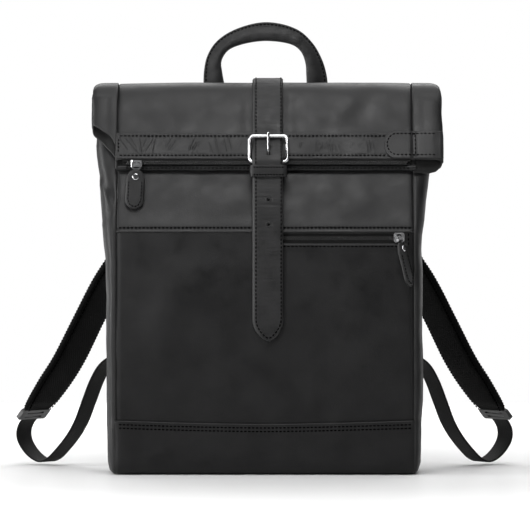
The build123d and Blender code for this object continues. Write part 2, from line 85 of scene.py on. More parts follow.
def resample(path, step):
    """The path again, with its points evenly spaced, about a step apart."""
    return along(path, even_steps(0, lengths(path)[-1], step))


def smooth_line(points, step=1.0):
    """Points about a step apart on a smooth curve through the given points."""
    p = np.array(points, float)
    p = np.vstack([2 * p[0] - p[1], p, 2 * p[-1] - p[-2]])
    t = np.linspace(0, 1, 40, endpoint=False)[:, None]
    dense = []
    for a, b, c, d in zip(p, p[1:], p[2:], p[3:]):
        ab, bc, cd = (max(np.linalg.norm(j - i), 1e-6) ** 0.5 for i, j in ((a, b), (b, c), (c, d)))
        m = ((b - a) / ab - (c - a) / (ab + bc) + (c - b) / bc) * bc
        n = ((c - b) / bc - (d - b) / (bc + cd) + (d - c) / cd) * bc
        dense.append(b + m * t + (3 * (c - b) - 2 * m - n) * t**2 + (2 * (b - c) + m + n) * t**3)
    return resample(np.vstack(dense + [p[-2:-1]]), step)


def stops(start, end, step, fine=(), near=2.4):
    """Positions from start to end about a step apart, closer together at both ends and round the fine ones."""
    spots = list(even_steps(start, end, step))
    for f in (start, end, *fine):
        spots += [f + near * k for k in (-1, -0.6, -0.3, -0.12, 0, 0.12, 0.3, 0.6, 1)]
    spots = np.sort([s for s in spots if start - 1e-9 <= s <= end + 1e-9])
    kept = [spots[0]]
    for s in spots[1:]:
        if s - kept[-1] > 0.12:
            kept.append(s)
    return np.array(kept)


def eased(count):
    """Positions from -1 to 1, closer together at both ends."""
    return np.sin(np.linspace(-0.5, 0.5, count) * math.pi)


def crossed(u, v):
    """Two rows of positions as the coordinates of a grid."""
    return np.meshgrid(u, v, indexing="ij")


def xyz(x, y, z):
    """Points from coordinates, which may be arrays or single numbers."""
    return np.stack(np.broadcast_arrays(*(np.asarray(k, float) for k in (x, y, z))), axis=-1)


def noise(u, v, size, seed):
    """Smooth noise from -1 to 1 with features of about this size."""
    table = np.random.default_rng(seed).random((64, 64))
    x, y = np.asarray(u, float) / size + 31.7, np.asarray(v, float) / size + 17.3
    i, j = np.floor(x).astype(int), np.floor(y).astype(int)
    f, g = x - i, y - j
    f, g = f * f * (3 - 2 * f), g * g * (3 - 2 * g)
    a, b = table[i % 64, j % 64], table[(i + 1) % 64, j % 64]
    c, d = table[i % 64, (j + 1) % 64], table[(i + 1) % 64, (j + 1) % 64]
    return 2 * (a + (b - a) * f + (c - a) * g + (a - b - c + d) * f * g) - 1


def rumple(u, v, size, seed):
    """Noise with finer and weaker noise on it."""
    return sum(noise(u, v, size / 2**k, seed + k) / 2**k for k in range(3))


def rise(x, low, high):
    """0 below low, 1 above high, and smooth between them."""
    t = np.clip((np.asarray(x, float) - low) / (high - low), 0, 1)
    return t * t * (3 - 2 * t)


def ditch(x, width):
    """1 in the middle and fading out on both sides."""
    return np.exp(-((np.asarray(x, float) / width) ** 2))


def round_off(x):
    """1 at x = 0, falling as a quarter circle to 0 at x = 1."""
    return np.sqrt(np.clip(1 - x**2, 0, 1))


def crease(u, v, a, b, width):
    """A fold from a to b in the (u, v) plane: 1 along it, fading to its sides and ends."""
    a, b = np.array(a, float), np.array(b, float)
    d = b - a
    t = ((u - a[0]) * d[0] + (v - a[1]) * d[1]) / (d @ d)
    off = ((u - a[0]) * d[1] - (v - a[1]) * d[0]) / math.hypot(*d)
    return ditch(off, width) * rise(t, -0.15, 0.25) * (1 - rise(t, 0.75, 1.15))


def creases(u, v, *rows):
    """The sum of creases, each (height, from, to, width)."""
    return sum(height * crease(u, v, a, b, width) for height, a, b, width in rows)


def unit(v):
    v = np.asarray(v, float)
    return v / np.maximum(np.linalg.norm(v, axis=-1, keepdims=True), 1e-9)


def outward(path):
    """The directions square to a (y, z) path, to the left of the way it runs."""
    t = unit(np.gradient(path, axis=0))
    return np.stack([-t[:, 1], t[:, 0]], axis=1)


def raised(x, path, out, lift):
    """Points at x on a (y, z) path, lifted along its directions out."""
    return xyz(x, path[:, 0] + out[:, 0] * lift, path[:, 1] + out[:, 1] * lift)


def frames(path, across):
    """Across and out directions at each point of a path."""
    ahead = unit(np.gradient(path, axis=0))
    across = np.broadcast_to(np.asarray(across, float), path.shape)
    across = unit(across - ahead * np.sum(across * ahead, axis=1, keepdims=True))
    return across, unit(np.cross(ahead, across))


# ---- Meshes
def ring_faces(rings, around, base=0, flip=False):
    """The faces between rings of points, which are numbered ring after ring from base."""
    j = np.arange(around)
    a = base + np.arange(rings - 1)[:, None] * around + j
    b = a - j + (j + 1) % around
    faces = [a, a + around, b + around, b] if flip else [a, b, b + around, a + around]
    return np.stack(faces, axis=-1).reshape(-1, 4)


def make_mesh(name, points, faces, material, wear=None):
    """A mesh object from points in millimetres. wear is how rubbed its leather is at each point, from 0 to 1."""
    mesh = bpy.data.meshes.new(name)
    mesh.from_pydata((np.asarray(points, float) * MM).tolist(), [], [list(map(int, f)) for f in faces])
    mesh.validate()
    mesh.materials.append(material)
    mesh.shade_smooth()
    if wear is not None:
        mesh.attributes.new("wear", "FLOAT", "POINT").data.foreach_set("value", np.asarray(wear, np.float32))
    piece = bpy.data.objects.new(name, mesh)
    bpy.context.scene.collection.objects.link(piece)
    return piece


def sheet_piece(name, grid, thick, material, hole=None, out=1, inside=None):
    """A thick sheet with rounded edges. grid holds its outer face, hole marks the cells that are cut out, and inside
    is its back's own material."""
    nu, nv = grid.shape[:2]
    total = nu * nv
    normals = unit(np.cross(np.gradient(grid, axis=0), np.gradient(grid, axis=1)))
    face, back = grid.reshape(-1, 3), (grid - normals * out * thick).reshape(-1, 3)
    i, j = np.nonzero(np.ones((nu - 1, nv - 1), bool) if hole is None else ~hole)
    quads = (i * nv + j)[:, None] + [0, nv, nv + 1, 1]
    if out < 0:
        quads = quads[:, ::-1]
    edges = np.vstack([quads[:, [k, (k + 1) % 4]] for k in range(4)])
    keys = np.sort(edges, axis=1) @ np.array([total, 1])
    _, first, count = np.unique(keys, return_index=True, return_counts=True)
    first = first[count == 1]
    border = edges[first]
    push = unit(face[border].mean(axis=1) - face[quads[first % len(quads)]].mean(axis=1))
    away = np.zeros_like(face)
    for k in range(2):
        np.add.at(away, border[:, k], push)
    ids = np.unique(border)
    middle = (face[ids] + back[ids]) / 2 + unit(away[ids]) * thick * 0.5
    faces = quads.tolist() + (quads[:, ::-1] + total).tolist()
    for (a, b), (c, d) in zip(border, 2 * total + np.searchsorted(ids, border)):
        faces += [[b, a, c, d], [d, c, a + total, b + total]]
    worn = np.isin(np.arange(total), ids)
    wear = np.concatenate([worn, worn, np.ones(len(ids))])
    piece = make_mesh(name, np.vstack([face, back, middle]), faces, material, wear)
    if inside is not None:
        piece.data.materials.append(inside)
        for polygon in piece.data.polygons[len(quads): 2 * len(quads)]:
            polygon.material_index = 1
    return piece


def tube_piece(name, sections, material, caps=True, closed=False, wear=None):
    """A skin over closed sections, an array (stations, points round, 3)."""
    sections = np.array(sections)
    n, m = sections.shape[:2]
    faces = (ring_faces(n + closed, m) % (n * m)).tolist()
    if caps:
        faces += [list(range(m))[::-1], [(n - 1) * m + j for j in range(m)]]
    piece = make_mesh(name, sections.reshape(-1, 3), faces, material, wear)
    work = bmesh.new()
    work.from_mesh(piece.data)
    bmesh.ops.recalc_face_normals(work, faces=work.faces)
    work.to_mesh(piece.data)
    work.free()
    return piece


def band_section(half, thick, corner, count=11, crown=0.0):
    """A flat strap's section (across, out): rounded edges and a slight crown. It starts at one edge and goes round."""
    w = np.linspace(-1, 1, count)
    top = np.stack([w * (half - corner), thick / 2 + crown * (1 - w**2)], axis=1)
    edge = np.array([[half - corner * 0.3, thick * 0.36], [half, 0], [half - corner * 0.3, -thick * 0.36]])
    low = np.stack([w[::-1] * (half - corner), np.full(count, -thick / 2)], axis=1)
    return np.vstack([top, edge, low, edge[::-1] * [-1, 1]])


def strap_piece(name, path, across, half, thick, material, corner=0.6, count=11, bumps=None):
    """A strap along a path. bumps(distance, side) moves its outer face."""
    side, out = frames(path, across)
    shape = band_section(half, thick, corner, count)
    worn = rise(np.abs(shape[:, 0]), half - corner * 2, half - corner * 0.4)
    sections = []
    for p, a, o, s in zip(path, side, out, lengths(path)):
        lift = 0 if bumps is None else (bumps(s, shape[:, 0]) * rise(shape[:, 1], 0, thick * 0.3))[:, None]
        sections.append(p + a * shape[:, :1] + o * (shape[:, 1:] + lift))
    return tube_piece(name, sections, material, wear=np.tile(worn, len(path)))


# ---- Materials
class Shading:
    """Short ways to add shader nodes to a material or world. A value may be a number, a colour or a node's output."""

    def __init__(self, owner, shader="Principled BSDF", where="Object"):
        owner.use_nodes = True
        self.owner = owner
        self.nodes, self.links = owner.node_tree.nodes, owner.node_tree.links
        self.shader = self.nodes[shader]
        self.where = self.nodes.new("ShaderNodeTexCoord").outputs[where]

    def put(self, socket, value):
        if hasattr(value, "is_linked"):
            self.links.new(value, socket)
        else:
            socket.default_value = value

    def set(self, **values):
        """Sets the shader's inputs, with _ for a space in their names."""
        for key, value in values.items():
            self.put(self.shader.inputs[key.replace("_", " ")], value)

    def texture(self, kind, scale, **settings):
        """A procedural texture in the piece's own metres."""
        t = self.nodes.new(f"ShaderNodeTex{kind}")
        self.put(t.inputs["Vector"], self.where)
        for key, value in {"Scale": scale, **settings}.items():
            self.put(t.inputs[key], value)
        return t.outputs["Distance" if kind == "Voronoi" else "Fac"]

    def ramp(self, source, low, high, at=(0.0, 1.0)):
        """Maps a grey value to two greys or colours."""
        r = self.nodes.new("ShaderNodeValToRGB")
        for element, position, value in zip(r.color_ramp.elements, at, (low, high)):
            element.position = position
            element.color = (*value, 1) if hasattr(value, "__len__") else (value, value, value, 1)
        self.put(r.inputs["Fac"], source)
        return r.outputs["Color"]

    def mixed(self, factor, a, b):
        m = self.nodes.new("ShaderNodeMix")
        m.data_type = "RGBA"
        self.put(m.inputs["Factor"], factor)
        for name, value in (("A", a), ("B", b)):
            self.put([i for i in m.inputs if i.name == name and i.type == "RGBA"][0], value)
        return [o for o in m.outputs if o.type == "RGBA"][0]

    def number(self, operation, a, b):
        m = self.nodes.new("ShaderNodeMath")
        m.operation = operation
        self.put(m.inputs[0], a)
        self.put(m.inputs[1], b)
        return m.outputs[0]

    def bump(self, height, strength, distance):
        b = self.nodes.new("ShaderNodeBump")
        b.inputs["Strength"].default_value = strength
        b.inputs["Distance"].default_value = distance
        self.put(b.inputs["Height"], height)
        self.set(Normal=b.outputs["Normal"])


def leather(name, tone, mottle, gloss, rough=0.46, grain=0.35):
    """Black leather: fine pores, a soft mottle in its colour and gloss, and lighter, drier edges."""
    m = Shading(bpy.data.materials.new(name))
    cloud = m.texture("Noise", mottle, Detail=4.0, Roughness=0.6)
    pores = m.texture("Voronoi", 1150.0, Randomness=1.0)
    wrinkle = m.texture("Noise", 420.0, Detail=3.0, Roughness=0.65, Distortion=0.6)
    dark, light = (tone * 0.62, tone * 0.62, tone * 0.65), (tone * 1.4, tone * 1.4, tone * 1.44)
    base = m.ramp(cloud, dark, light, (0.3, 0.72))
    wear = m.nodes.new("ShaderNodeAttribute")
    wear.attribute_name = "wear"
    edge = m.number("MULTIPLY", wear.outputs["Fac"], m.number("ADD", cloud, 0.1))
    m.set(Base_Color=m.mixed(edge, base, (tone * 2.6, tone * 2.6, tone * 2.6, 1)),
          Roughness=m.ramp(cloud, rough * 0.78, rough * 1.24, (0.3, 0.7)), Specular_IOR_Level=gloss)
    m.bump(m.number("ADD", m.number("MULTIPLY", pores, 0.55), m.number("MULTIPLY", wrinkle, 0.9)), grain, 0.0003)
    return m.owner


def cloth(name, tone, scale, depth=0.0002, rough=0.85, shine=0.2):
    """Woven fabric or mesh."""
    m = Shading(bpy.data.materials.new(name))
    weave = m.texture("Voronoi", scale, Randomness=0.25)
    cloud = m.texture("Noise", 45.0, Detail=3.0)
    shade = m.number("ADD", m.number("MULTIPLY", weave, 0.7), m.number("MULTIPLY", cloud, 0.5))
    m.set(Base_Color=m.ramp(shade, tone * 1.5, tone * 0.5, (0.2, 0.95)),
          Roughness=m.ramp(cloud, rough * 0.94, rough * 1.08),
          Specular_IOR_Level=shine, Sheen_Weight=0.3 * shine, Sheen_Roughness=0.5)
    m.bump(weave, 0.7, depth)
    return m.owner


def nickel(name):
    """Bright nickel plate with faint polishing marks."""
    m = Shading(bpy.data.materials.new(name))
    cloud = m.texture("Noise", 260.0, Detail=3.0)
    m.set(Base_Color=m.ramp(cloud, (0.36, 0.36, 0.37), (0.52, 0.52, 0.53), (0.3, 0.7)),
          Roughness=m.ramp(cloud, 0.12, 0.24, (0.3, 0.7)), Metallic=1.0)
    return m.owner


def plastic(name, tone, rough):
    """Moulded black plastic with a fine spark-eroded grain."""
    m = Shading(bpy.data.materials.new(name))
    grain = m.texture("Noise", 1600.0, Detail=2.0)
    m.set(Base_Color=m.ramp(grain, tone * 0.8, tone * 1.3), Roughness=m.ramp(grain, rough * 0.85, rough * 1.15))
    m.bump(grain, 0.3, 0.0001)
    return m.owner


PANEL = leather("panel_leather", 0.006, 26.0, 0.17)
FLAP_SKIN = leather("flap_leather", 0.0075, 30.0, 0.19)
STRAP_SKIN = leather("strap_leather", 0.008, 90.0, 0.22, rough=0.5, grain=0.6)
THREAD = cloth("thread", 0.0006, 2600.0, depth=0.0001, shine=0.0)
MESH = cloth("air_mesh", 0.0014, 520.0, depth=0.0007, shine=0.05)
WEB = cloth("webbing", 0.004, 900.0, depth=0.0003, rough=0.7, shine=0.1)
TAPE = cloth("zip_tape", 0.005, 1500.0)
LINING = cloth("lining", 0.006, 1200.0)
COIL = plastic("zip_coil", 0.006, 0.42)
MOULDED = plastic("moulded_plastic", 0.005, 0.5)
NICKEL = nickel("nickel")

# Joints: the body behind, the body in front and two points across each. This script only bakes the pieces given a joint
# in place.
FOLD_AT = np.array([0.0, -12.0, 350.0])
FOLD_OUT = np.array([0.0, -0.927, 0.374])
FOLD_BEND = ("bag", "flap", tuple((FOLD_AT + FOLD_OUT * 0.1) * MM), tuple((FOLD_AT + FOLD_OUT * 1.3) * MM))
TAIL_BEND = ("flap", "closure_tail", (0, -0.0494, 0.2995), (0, -0.0500, 0.2935))
HANDLE_BEND = ("bag", "carry_handle", (0.002, 0.056, 0.366), (0.002, 0.057, 0.379))


def finish_piece(piece, on, slot, *nodes):
    """The piece rides on a body, or is baked in place when given a joint, and the CAD nodes it stands for are hidden.
    slot is not used.
    """
    if isinstance(on, str):
        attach(piece, on)
    else:
        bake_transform(piece)
    if nodes:
        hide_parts(*nodes)
    return piece


def strung(name, path, out, on, slot="edge_leather", pitch=3.9, size=2.7, radius=0.62):
    """A row of stitches along a path. out is the direction away from the leather, one for all or one for each point."""
    path = np.asarray(path, float)
    out = np.broadcast_to(np.asarray(out, float), path.shape)
    s = lengths(path)
    count = max(int(s[-1] // pitch), 1)
    spots = (np.arange(count) + 0.5) * s[-1] / count
    centre, ahead = along(path, spots), unit(along(path, spots + 0.6) - along(path, spots - 0.6))
    up = np.stack([np.interp(spots, s, out[:, k]) for k in range(3)], axis=1)
    up = unit(up - ahead * np.sum(up * ahead, axis=1, keepdims=True))
    side = np.cross(ahead, up)
    # A stitch is six rings of six points; it dips into the leather at both ends
    runs = np.array([-1, -0.82, -0.4, 0.4, 0.82, 1]) * size / 2
    girth = np.array([0.25, 0.75, 1, 1, 0.75, 0.25]) * radius
    dip = 0.1 + np.array([-0.5, -0.1, 0, 0, -0.1, -0.5]) * radius
    turn = np.arange(6) * math.pi / 3
    points, faces = [], []
    for k in range(count):
        base = k * 36
        for r in range(6):
            ring = centre[k] + ahead[k] * runs[r] + up[k] * dip[r]
            points.append(ring + (np.cos(turn)[:, None] * side[k] + np.sin(turn)[:, None] * up[k]) * girth[r])
        faces += ring_faces(6, 6, base, flip=True).tolist()
        faces.append([base + j for j in range(6)])
        faces.append([base + 30 + j for j in range(6)][::-1])
    finish_piece(make_mesh(name, np.vstack(points), faces, THREAD), on, slot)


# ---- The bag's profile and its leather panels
def profile(points):
    """A smooth (y, z) profile."""
    return smooth_line(points, 0.5)


def y_at(path, z):
    """The y of an upright profile at a height."""
    order = np.argsort(path[:, 1])
    return np.interp(z, path[order, 1], path[order, 0])


def reach(path, z, first=0):
    """The distance along a profile where the part of it that starts at its first-th point passes a height."""
    part, s = path[first:], lengths(path)[first:]
    order = np.argsort(part[:, 1])
    return float(np.interp(z, part[order, 1], s[order]))


def hanging(path, z):
    """The distance along a profile where it passes a height on its way down from its highest point."""
    return reach(path, z, int(np.argmax(path[:, 1])))


OUTER, INNER, UPPER_PATH = profile(BACK + ROOF + FLAP), profile(UPPER + LIP), profile(UPPER)
POCKET_PATH, BAND_PATH = profile(POCKET), profile(BAND)
FRONT_PATH = np.vstack([BAND_PATH[BAND_PATH[:, 1] < 50], POCKET_PATH[POCKET_PATH[:, 1] > 52][:-2], UPPER_PATH[2:]])
BACK_FACE, FLAP_FACE = np.split(OUTER, [int(np.argmax(OUTER[:, 1]))])
LIP_FACE = INNER[int(np.argmax(INNER[:, 1])):]


def shell(path, x, s, out, lift):
    """A grid over x and the distance along a profile, moved outwards by lift(x, s)."""
    p = along(path, s)
    n = out * outward(p)
    u, v = crossed(x, s)
    w = lift(u, v)
    wide = np.where(u > 0, SEAM_AT[1], -SEAM_AT[-1]) / SEAM
    return raised(u * wide, p, n, w)


def on_face(path, x, z, lift=0.0):
    """Points on a front face at x and height z, and the directions out of it."""
    x, z = np.broadcast_arrays(np.asarray(x, float), np.asarray(z, float))
    out = unit(xyz(0, -1, (y_at(path, z + 2) - y_at(path, z - 2)) / 4))
    return xyz(x, y_at(path, z), z) + out * np.asarray(lift)[..., None], out


def seam_roll(x, depth=1.7):
    """The panels turn in at the side seams."""
    return -depth * ditch(SEAM - np.abs(x), 1.9)


X_STOPS = stops(-SEAM, SEAM, 3.2)
FLAP_START = hanging(OUTER, 384)  # where the folded top's front begins, along OUTER


def outer_lift(x, s):
    down = s - FLAP_START
    front = rise(down, -14, 6)
    soft = 1.1 * rumple(x, s, 74, 5) + 0.35 * rumple(x, s, 21, 9)
    folds = creases(
        x, down,
        (-1.1, (112, -8), (84, 46), 15), (0.9, (88, -8), (66, 40), 13), (0.9, (-112, 2), (-84, 40), 12),
        (-0.6, (-60, 0), (-82, 48), 10), (-0.7, (38, 4), (52, 46), 10), (0.4, (-30, 6), (-44, 44), 9),
    )
    beside_strap = -1.0 * (ditch(x - STRAP_X - 21, 5) + ditch(x - STRAP_X + 21, 5)) * front
    crown = -2.2 * np.abs(x / SEAM) ** 4 * ditch(down + 8, 16)
    return front * (soft + folds + beside_strap) + (1 - front) * 0.5 * rumple(x, s, 90, 3) + crown + seam_roll(x)


outer_s = stops(0, lengths(OUTER)[-1], 3.2, near=1.6, fine=(hanging(OUTER, 389),))
outer_grid = shell(OUTER, X_STOPS, outer_s, -1, outer_lift)
outer_shell = sheet_piece("outer_shell", outer_grid, 2.0, FLAP_SKIN, out=-1, inside=LINING)
finish_piece(outer_shell, FOLD_BEND, "leather", "back_panel", "flap_outer_panel")


def inner_lift(x, s):
    soft = 0.9 * rumple(x, s, 66, 21) + 0.25 * rumple(x, s, 18, 22)
    folds = creases(x, s, (0.7, (-60, 20), (-20, 44), 11), (-0.6, (-96, 8), (-70, 52), 10),
                    (0.8, (70, 18), (110, 40), 12), (-0.7, (128, 20), (104, 52), 8))
    hem = 0.15 * (1 - rise(s, 0, 2.6)) - 0.5 * ditch(s - 3.6, 1.2)
    return (soft + folds) * rise(s, 3, 22) * (1 - rise(s, 44, 60)) + hem + seam_roll(x)


inner_s = stops(0, lengths(INNER)[-1], 3.0, near=1.6, fine=(3.4,))
inner_grid = shell(INNER, X_STOPS, inner_s, 1, inner_lift)
inner_shell = sheet_piece("inner_shell", inner_grid, 2.0, FLAP_SKIN, inside=LINING)
finish_piece(inner_shell, FOLD_BEND, "leather", "front_upper_panel", "flap_inner_panel")

# The pocket zip's window
ZIP_LEFT, ZIP_RIGHT = -6.0, 140.5
ZIP_LOW_S, ZIP_HIGH_S = reach(POCKET_PATH, 231.2), reach(POCKET_PATH, 242.0)


def pocket_lift(x, s):
    soft = 1.0 * rumple(x, s, 88, 31) + 0.16 * rumple(x, s, 24, 33)
    folds = creases(x, s, (1.5, (-110, 60), (-70, 170), 26), (-1.1, (-40, 30), (-84, 120), 24),
                    (1.2, (60, 150), (118, 60), 30), (-0.8, (20, 40), (60, 120), 22))
    lips = 0.7 * ditch(s - ZIP_LOW_S + 3.0, 2.6) * rise(x, -12, -4) * (1 - rise(x, 138, 144))
    ends = rise(s, 2, 24) * (1 - rise(s, ZIP_LOW_S - 26, ZIP_LOW_S - 6))
    return (soft + folds) * ends + lips + seam_roll(x)


window_end = ZIP_RIGHT * SEAM / SEAM_AT[1]
pocket_x = stops(-SEAM, SEAM, 3.2, fine=(ZIP_LEFT, window_end), near=1.2)
pocket_s = stops(0, lengths(POCKET_PATH)[-1], 3.2, fine=(ZIP_LOW_S, ZIP_HIGH_S), near=1.2)
mid_x, mid_s = crossed((pocket_x[1:] + pocket_x[:-1]) / 2, (pocket_s[1:] + pocket_s[:-1]) / 2)
window = (mid_x > ZIP_LEFT) & (mid_x < window_end) & (mid_s > ZIP_LOW_S) & (mid_s < ZIP_HIGH_S)
pocket_grid = shell(POCKET_PATH, pocket_x, pocket_s, 1, pocket_lift)
pocket_panel = sheet_piece("pocket_panel", pocket_grid, 2.0, PANEL, hole=window)
finish_piece(pocket_panel, "bag", "leather", "front_pocket_panel")

BAND_LENGTH = lengths(BAND_PATH)[-1]


def band_edge(x):
    """The height of the base band's top edge."""
    return 50.4 + 3.4 * np.abs(x / SEAM) ** 1.5


def band_lift(x, s):
    soft = 0.5 * rumple(x, s, 46, 41) + creases(x, s, (0.5, (-120, 14), (-92, 30), 6), (0.4, (40, 10), (84, 26), 7))
    ends = rise(s, 4, 14) * (1 - rise(s, BAND_LENGTH - 16, BAND_LENGTH - 6))
    return 1.1 + soft * ends - 1.2 * ditch(s, 5) + seam_roll(x, 1.4)


band_grid = shell(BAND_PATH, X_STOPS, stops(0, BAND_LENGTH, 3.0, near=1.5), 1, band_lift)
band_grid[:, :, 2] -= rise(band_grid[:, :, 2], 20, 56) * (band_grid[:, -1:, 2] - band_edge(band_grid[:, -1:, 0]))
finish_piece(sheet_piece("base_band", band_grid, 1.8, PANEL), "bag", "leather", "front_base_band")


# ---- Base
def rounded_ring(half_x, y0, y1, radius, count=8):
    """A rounded rectangle in plan, from its right back corner round."""
    ring = []
    for side, cy, turn in ((1, y1 - radius, 0), (-1, y1 - radius, 90), (-1, y0 + radius, 180), (1, y0 + radius, 270)):
        for k in range(count + 1):
            a = math.radians(turn + 90 * k / count)
            ring.append((side * (half_x - radius) + radius * math.cos(a), cy + radius * math.sin(a)))
    return np.array(ring)


base_sections = []
for inset, z in ((3.0, 2.6), (0.8, 2.6), (0.0, 1.6), (0.9, 0.5), (3.4, 0.2)):
    ring = rounded_ring(151.0 - inset, -44 + inset, 46 - inset, 12)
    base_sections.append(xyz(ring[:, 0] + 1.0, ring[:, 1], z))
finish_piece(tube_piece("base_sheet", base_sections, PANEL), "bag", "leather", "base_panel")

# ---- Side gussets: one soft sheet each side, from the base up, over the top and down the folded mouth
# (height, how far out the side bows)
LEFT_BOWS = [(1, 154), (4, 157.2), (10, 158.6), (24, 159.8), (60, 160.4), (215, 160.8), (235, 163.2), (255, 166.8),
             (275, 168.4), (295, 169.4), (315, 171.8), (330, 173.6), (345, 173), (374, 173.5)]
RIGHT_BOWS = [(1, 153), (4, 156), (10, 158), (24, 159.2), (60, 160.2), (200, 160.4), (225, 159.8), (240, 160.6),
              (255, 162.6), (275, 165.2), (295, 168.2), (305, 170), (315, 171), (345, 172), (374, 173.5)]
FOLD_BOW = 171.5  # how far out the sides are where the fold starts
MOUTH_BOW = {-1: 175.0, 1: 180.0}  # and at the top of the folded mouth
# Matching points (y, z) of the inner and outer seams round the fold
TURN_IN = [(-8.6, 354), (-4.4, 365), (-2.2, 373), (-1.6, 377), (-2.6, 378.6), (-3.8, 377.4), (-5.0, 373.4)]
TURN_OUT = [(46.6, 350), (43.6, 365), (37, 384), (24, 394), (9.5, 395), (-0.6, 390.8), (-8, 382)]
# Folds across the front of the left gusset: depth, and (mm out from the seam, z) of both ends
LEFT_FOLDS = [(2.4, (19, 304), (1, 270)), (1.6, (16, 252), (1, 267)), (1.2, (14, 300), (2, 322))]


def gusset_rim(side, far, front):
    """The height of the folded top's side opening, by the share of the way out from the seam (0 to 1) and the share of
    the way from its back layer to its front layer."""
    if side < 0:
        over = np.interp(far, [0, 0.1, 0.25, 0.72, 0.93, 1], [330, 335.5, 341.5, 349, 351.5, 350])
        under = np.interp(far, [0, 0.2, 0.5, 0.9, 1], [317, 324, 332, 340.5, 344])
    else:
        over = np.interp(far, [0, 0.75, 0.95, 1], [317, 316.5, 315, 312.5])
        under = np.interp(far, [0, 0.5, 0.8, 0.95, 1], [303, 302.6, 304.5, 308, 311])
    return under + (over - under) * front


def gusset_piece(side, name):
    """A side's sheet, as stations from the base up to the fold and down to the mouth. Each runs from the inner (front)
    seam out and round to the outer (back) seam."""
    share = np.linspace(0, 1, 37)  # of the way round a station
    phi = np.linspace(0, math.pi, 400)
    depth = 0.5 * (1 - np.cos(phi))
    seam = abs(SEAM_AT[side])
    bows = np.array(LEFT_BOWS if side < 0 else RIGHT_BOWS, float)
    # Stations: inner seam (y, z), outer seam (y, z), bow, share of the fold
    rows = []
    for z in np.concatenate([[1, 2, 3.5, 5, 7, 9, 12, 16], np.arange(20, 352, 5.0)]):
        rows.append((y_at(FRONT_PATH, z) + 0.4, z, y_at(BACK_FACE, z) - 0.4, z, np.interp(z, *bows.T), 0.0))
    turn_in, turn_out = smooth_line(TURN_IN), smooth_line(TURN_OUT)
    for k in np.linspace(0, 1, 22)[1:]:
        ends = [along(turn, k * lengths(turn)[-1]) for turn in (turn_in, turn_out)]
        rows.append((*ends[0], *ends[1], FOLD_BOW + (MOUTH_BOW[side] - FOLD_BOW) * k, k))
    grid = []
    for y0, z0, y1, z1, bow, k in rows:
        high = rise(z0, 200, 350) * (1 - k)
        wide = (bow - seam) * np.sin(phi) ** (0.62 - 0.32 * k - 0.12 * rise(z0, 240, 350))
        run = lengths(np.column_stack([wide, math.hypot(y1 - y0, z1 - z0) * depth]))
        far, body = np.interp(share * run[-1], run, wide), np.interp(share * run[-1], run, depth)
        out = far / (bow - seam)
        pleat = (1.4 + 9 * high) * ditch(body - 0.5, 0.2) * rise(z0, 8, 40)
        x = seam + far - pleat * rise(out, 0.5, 1)
        x += 0.8 * rumple(body * 60, z0, 30, 51 + side) * rise(out, 0, 0.6)
        x -= 2.4 * high * ditch(far - 5, 2.5) * (body < 0.5)
        y = y0 + (y1 - y0) * body
        if side < 0:
            for dent, a, b in LEFT_FOLDS:
                fold = crease(far, z0, a, b, 2.6) - 0.6 * crease(far, z0 + 5, a, b, 2.8)
                fold = fold * dent * rise(0.5 - body, 0, 0.2) * rise(far, 0, 2)
                x, y = x - 0.5 * fold, y + fold
        grid.append(xyz(side * x, y, z0 + (z1 - z0) * body))
    last_x, _, last_z = grid[-1].T
    low = gusset_rim(side, out, rise(body, 0.15, 0.85))
    bulge = 1.8 * np.sin(share * math.pi * 2) * rise(out, 0, 0.4)
    for k in np.concatenate([np.linspace(0, 1, 20)[1:-1], [0.975, 1.0]]):
        z = last_z + (low - last_z) * k
        y = y_at(LIP_FACE, z) * (1 - body) + y_at(FLAP_FACE, z) * body
        x = np.abs(last_x) + 0.8 * rumple(share * 60, z, 22, 61 + side) * rise(out, 0, 0.5) * rise(k, 0, 0.3)
        if side > 0:
            x = x - 2.0 * rise(-z, -314, -302) * rise(out, 0.4, 1)
        grid.append(xyz(side * x, y + bulge, z))
    return sheet_piece(name, np.array(grid), 1.7, FLAP_SKIN, out=-side, inside=LINING)


HANDS = ((-1, "left"), (1, "right"))
for side, hand in HANDS:
    piece = gusset_piece(side, f"gusset_{hand}")
    finish_piece(piece, FOLD_BEND, "leather", f"side_gusset_{hand}", f"flap_gusset_{hand}")


# ---- The mouth: band, tab, zip
def flap_sheet(name, x, z, lift, thick, node):
    """A sheet that lies on the folded top's face, over a grid of x and z."""
    points, _ = on_face(FLAP_FACE, x, z, lift)
    finish_piece(sheet_piece(name, points[:, ::-1], thick, FLAP_SKIN, out=-1), "flap", "leather", node)


def flap_stitches(name, x, z, lift=1.45):
    strung(name, *on_face(FLAP_FACE, x, z, lift), "flap")


def band_creases(x, z):
    """Fine slanting creases, as where a folded band has been pulled."""
    rng = np.random.default_rng(77)
    total = 0.0
    for start, end, count in ((-130, -60, 17), (-58, -20, 7), (30, 70, 8), (72, 118, 6)):
        for _ in range(count):
            at, low, high = rng.uniform(start, end), rng.uniform(320, 328), rng.uniform(330, 338)
            lean, deep = rng.uniform(-7, 7) - 2 * np.sign(at), rng.uniform(0.3, 1.0)
            total = total - deep * crease(x, z, (at, low), (at + lean, high), rng.uniform(0.5, 0.9))
            total = total + 0.6 * deep * crease(x, z, (at + 1.5, low), (at + lean + 1.5, high), 1.1)
    for at, high, to, low in ((-147, 337, -138, 325), (-142, 338, -127, 321), (-136, 338, -129, 327)):
        total = total - 0.9 * crease(x, z, (at, high), (to, low), 0.8)
        total = total + 0.6 * crease(x, z, (at + 1.6, high), (to + 1.6, low), 1.1)
    return total


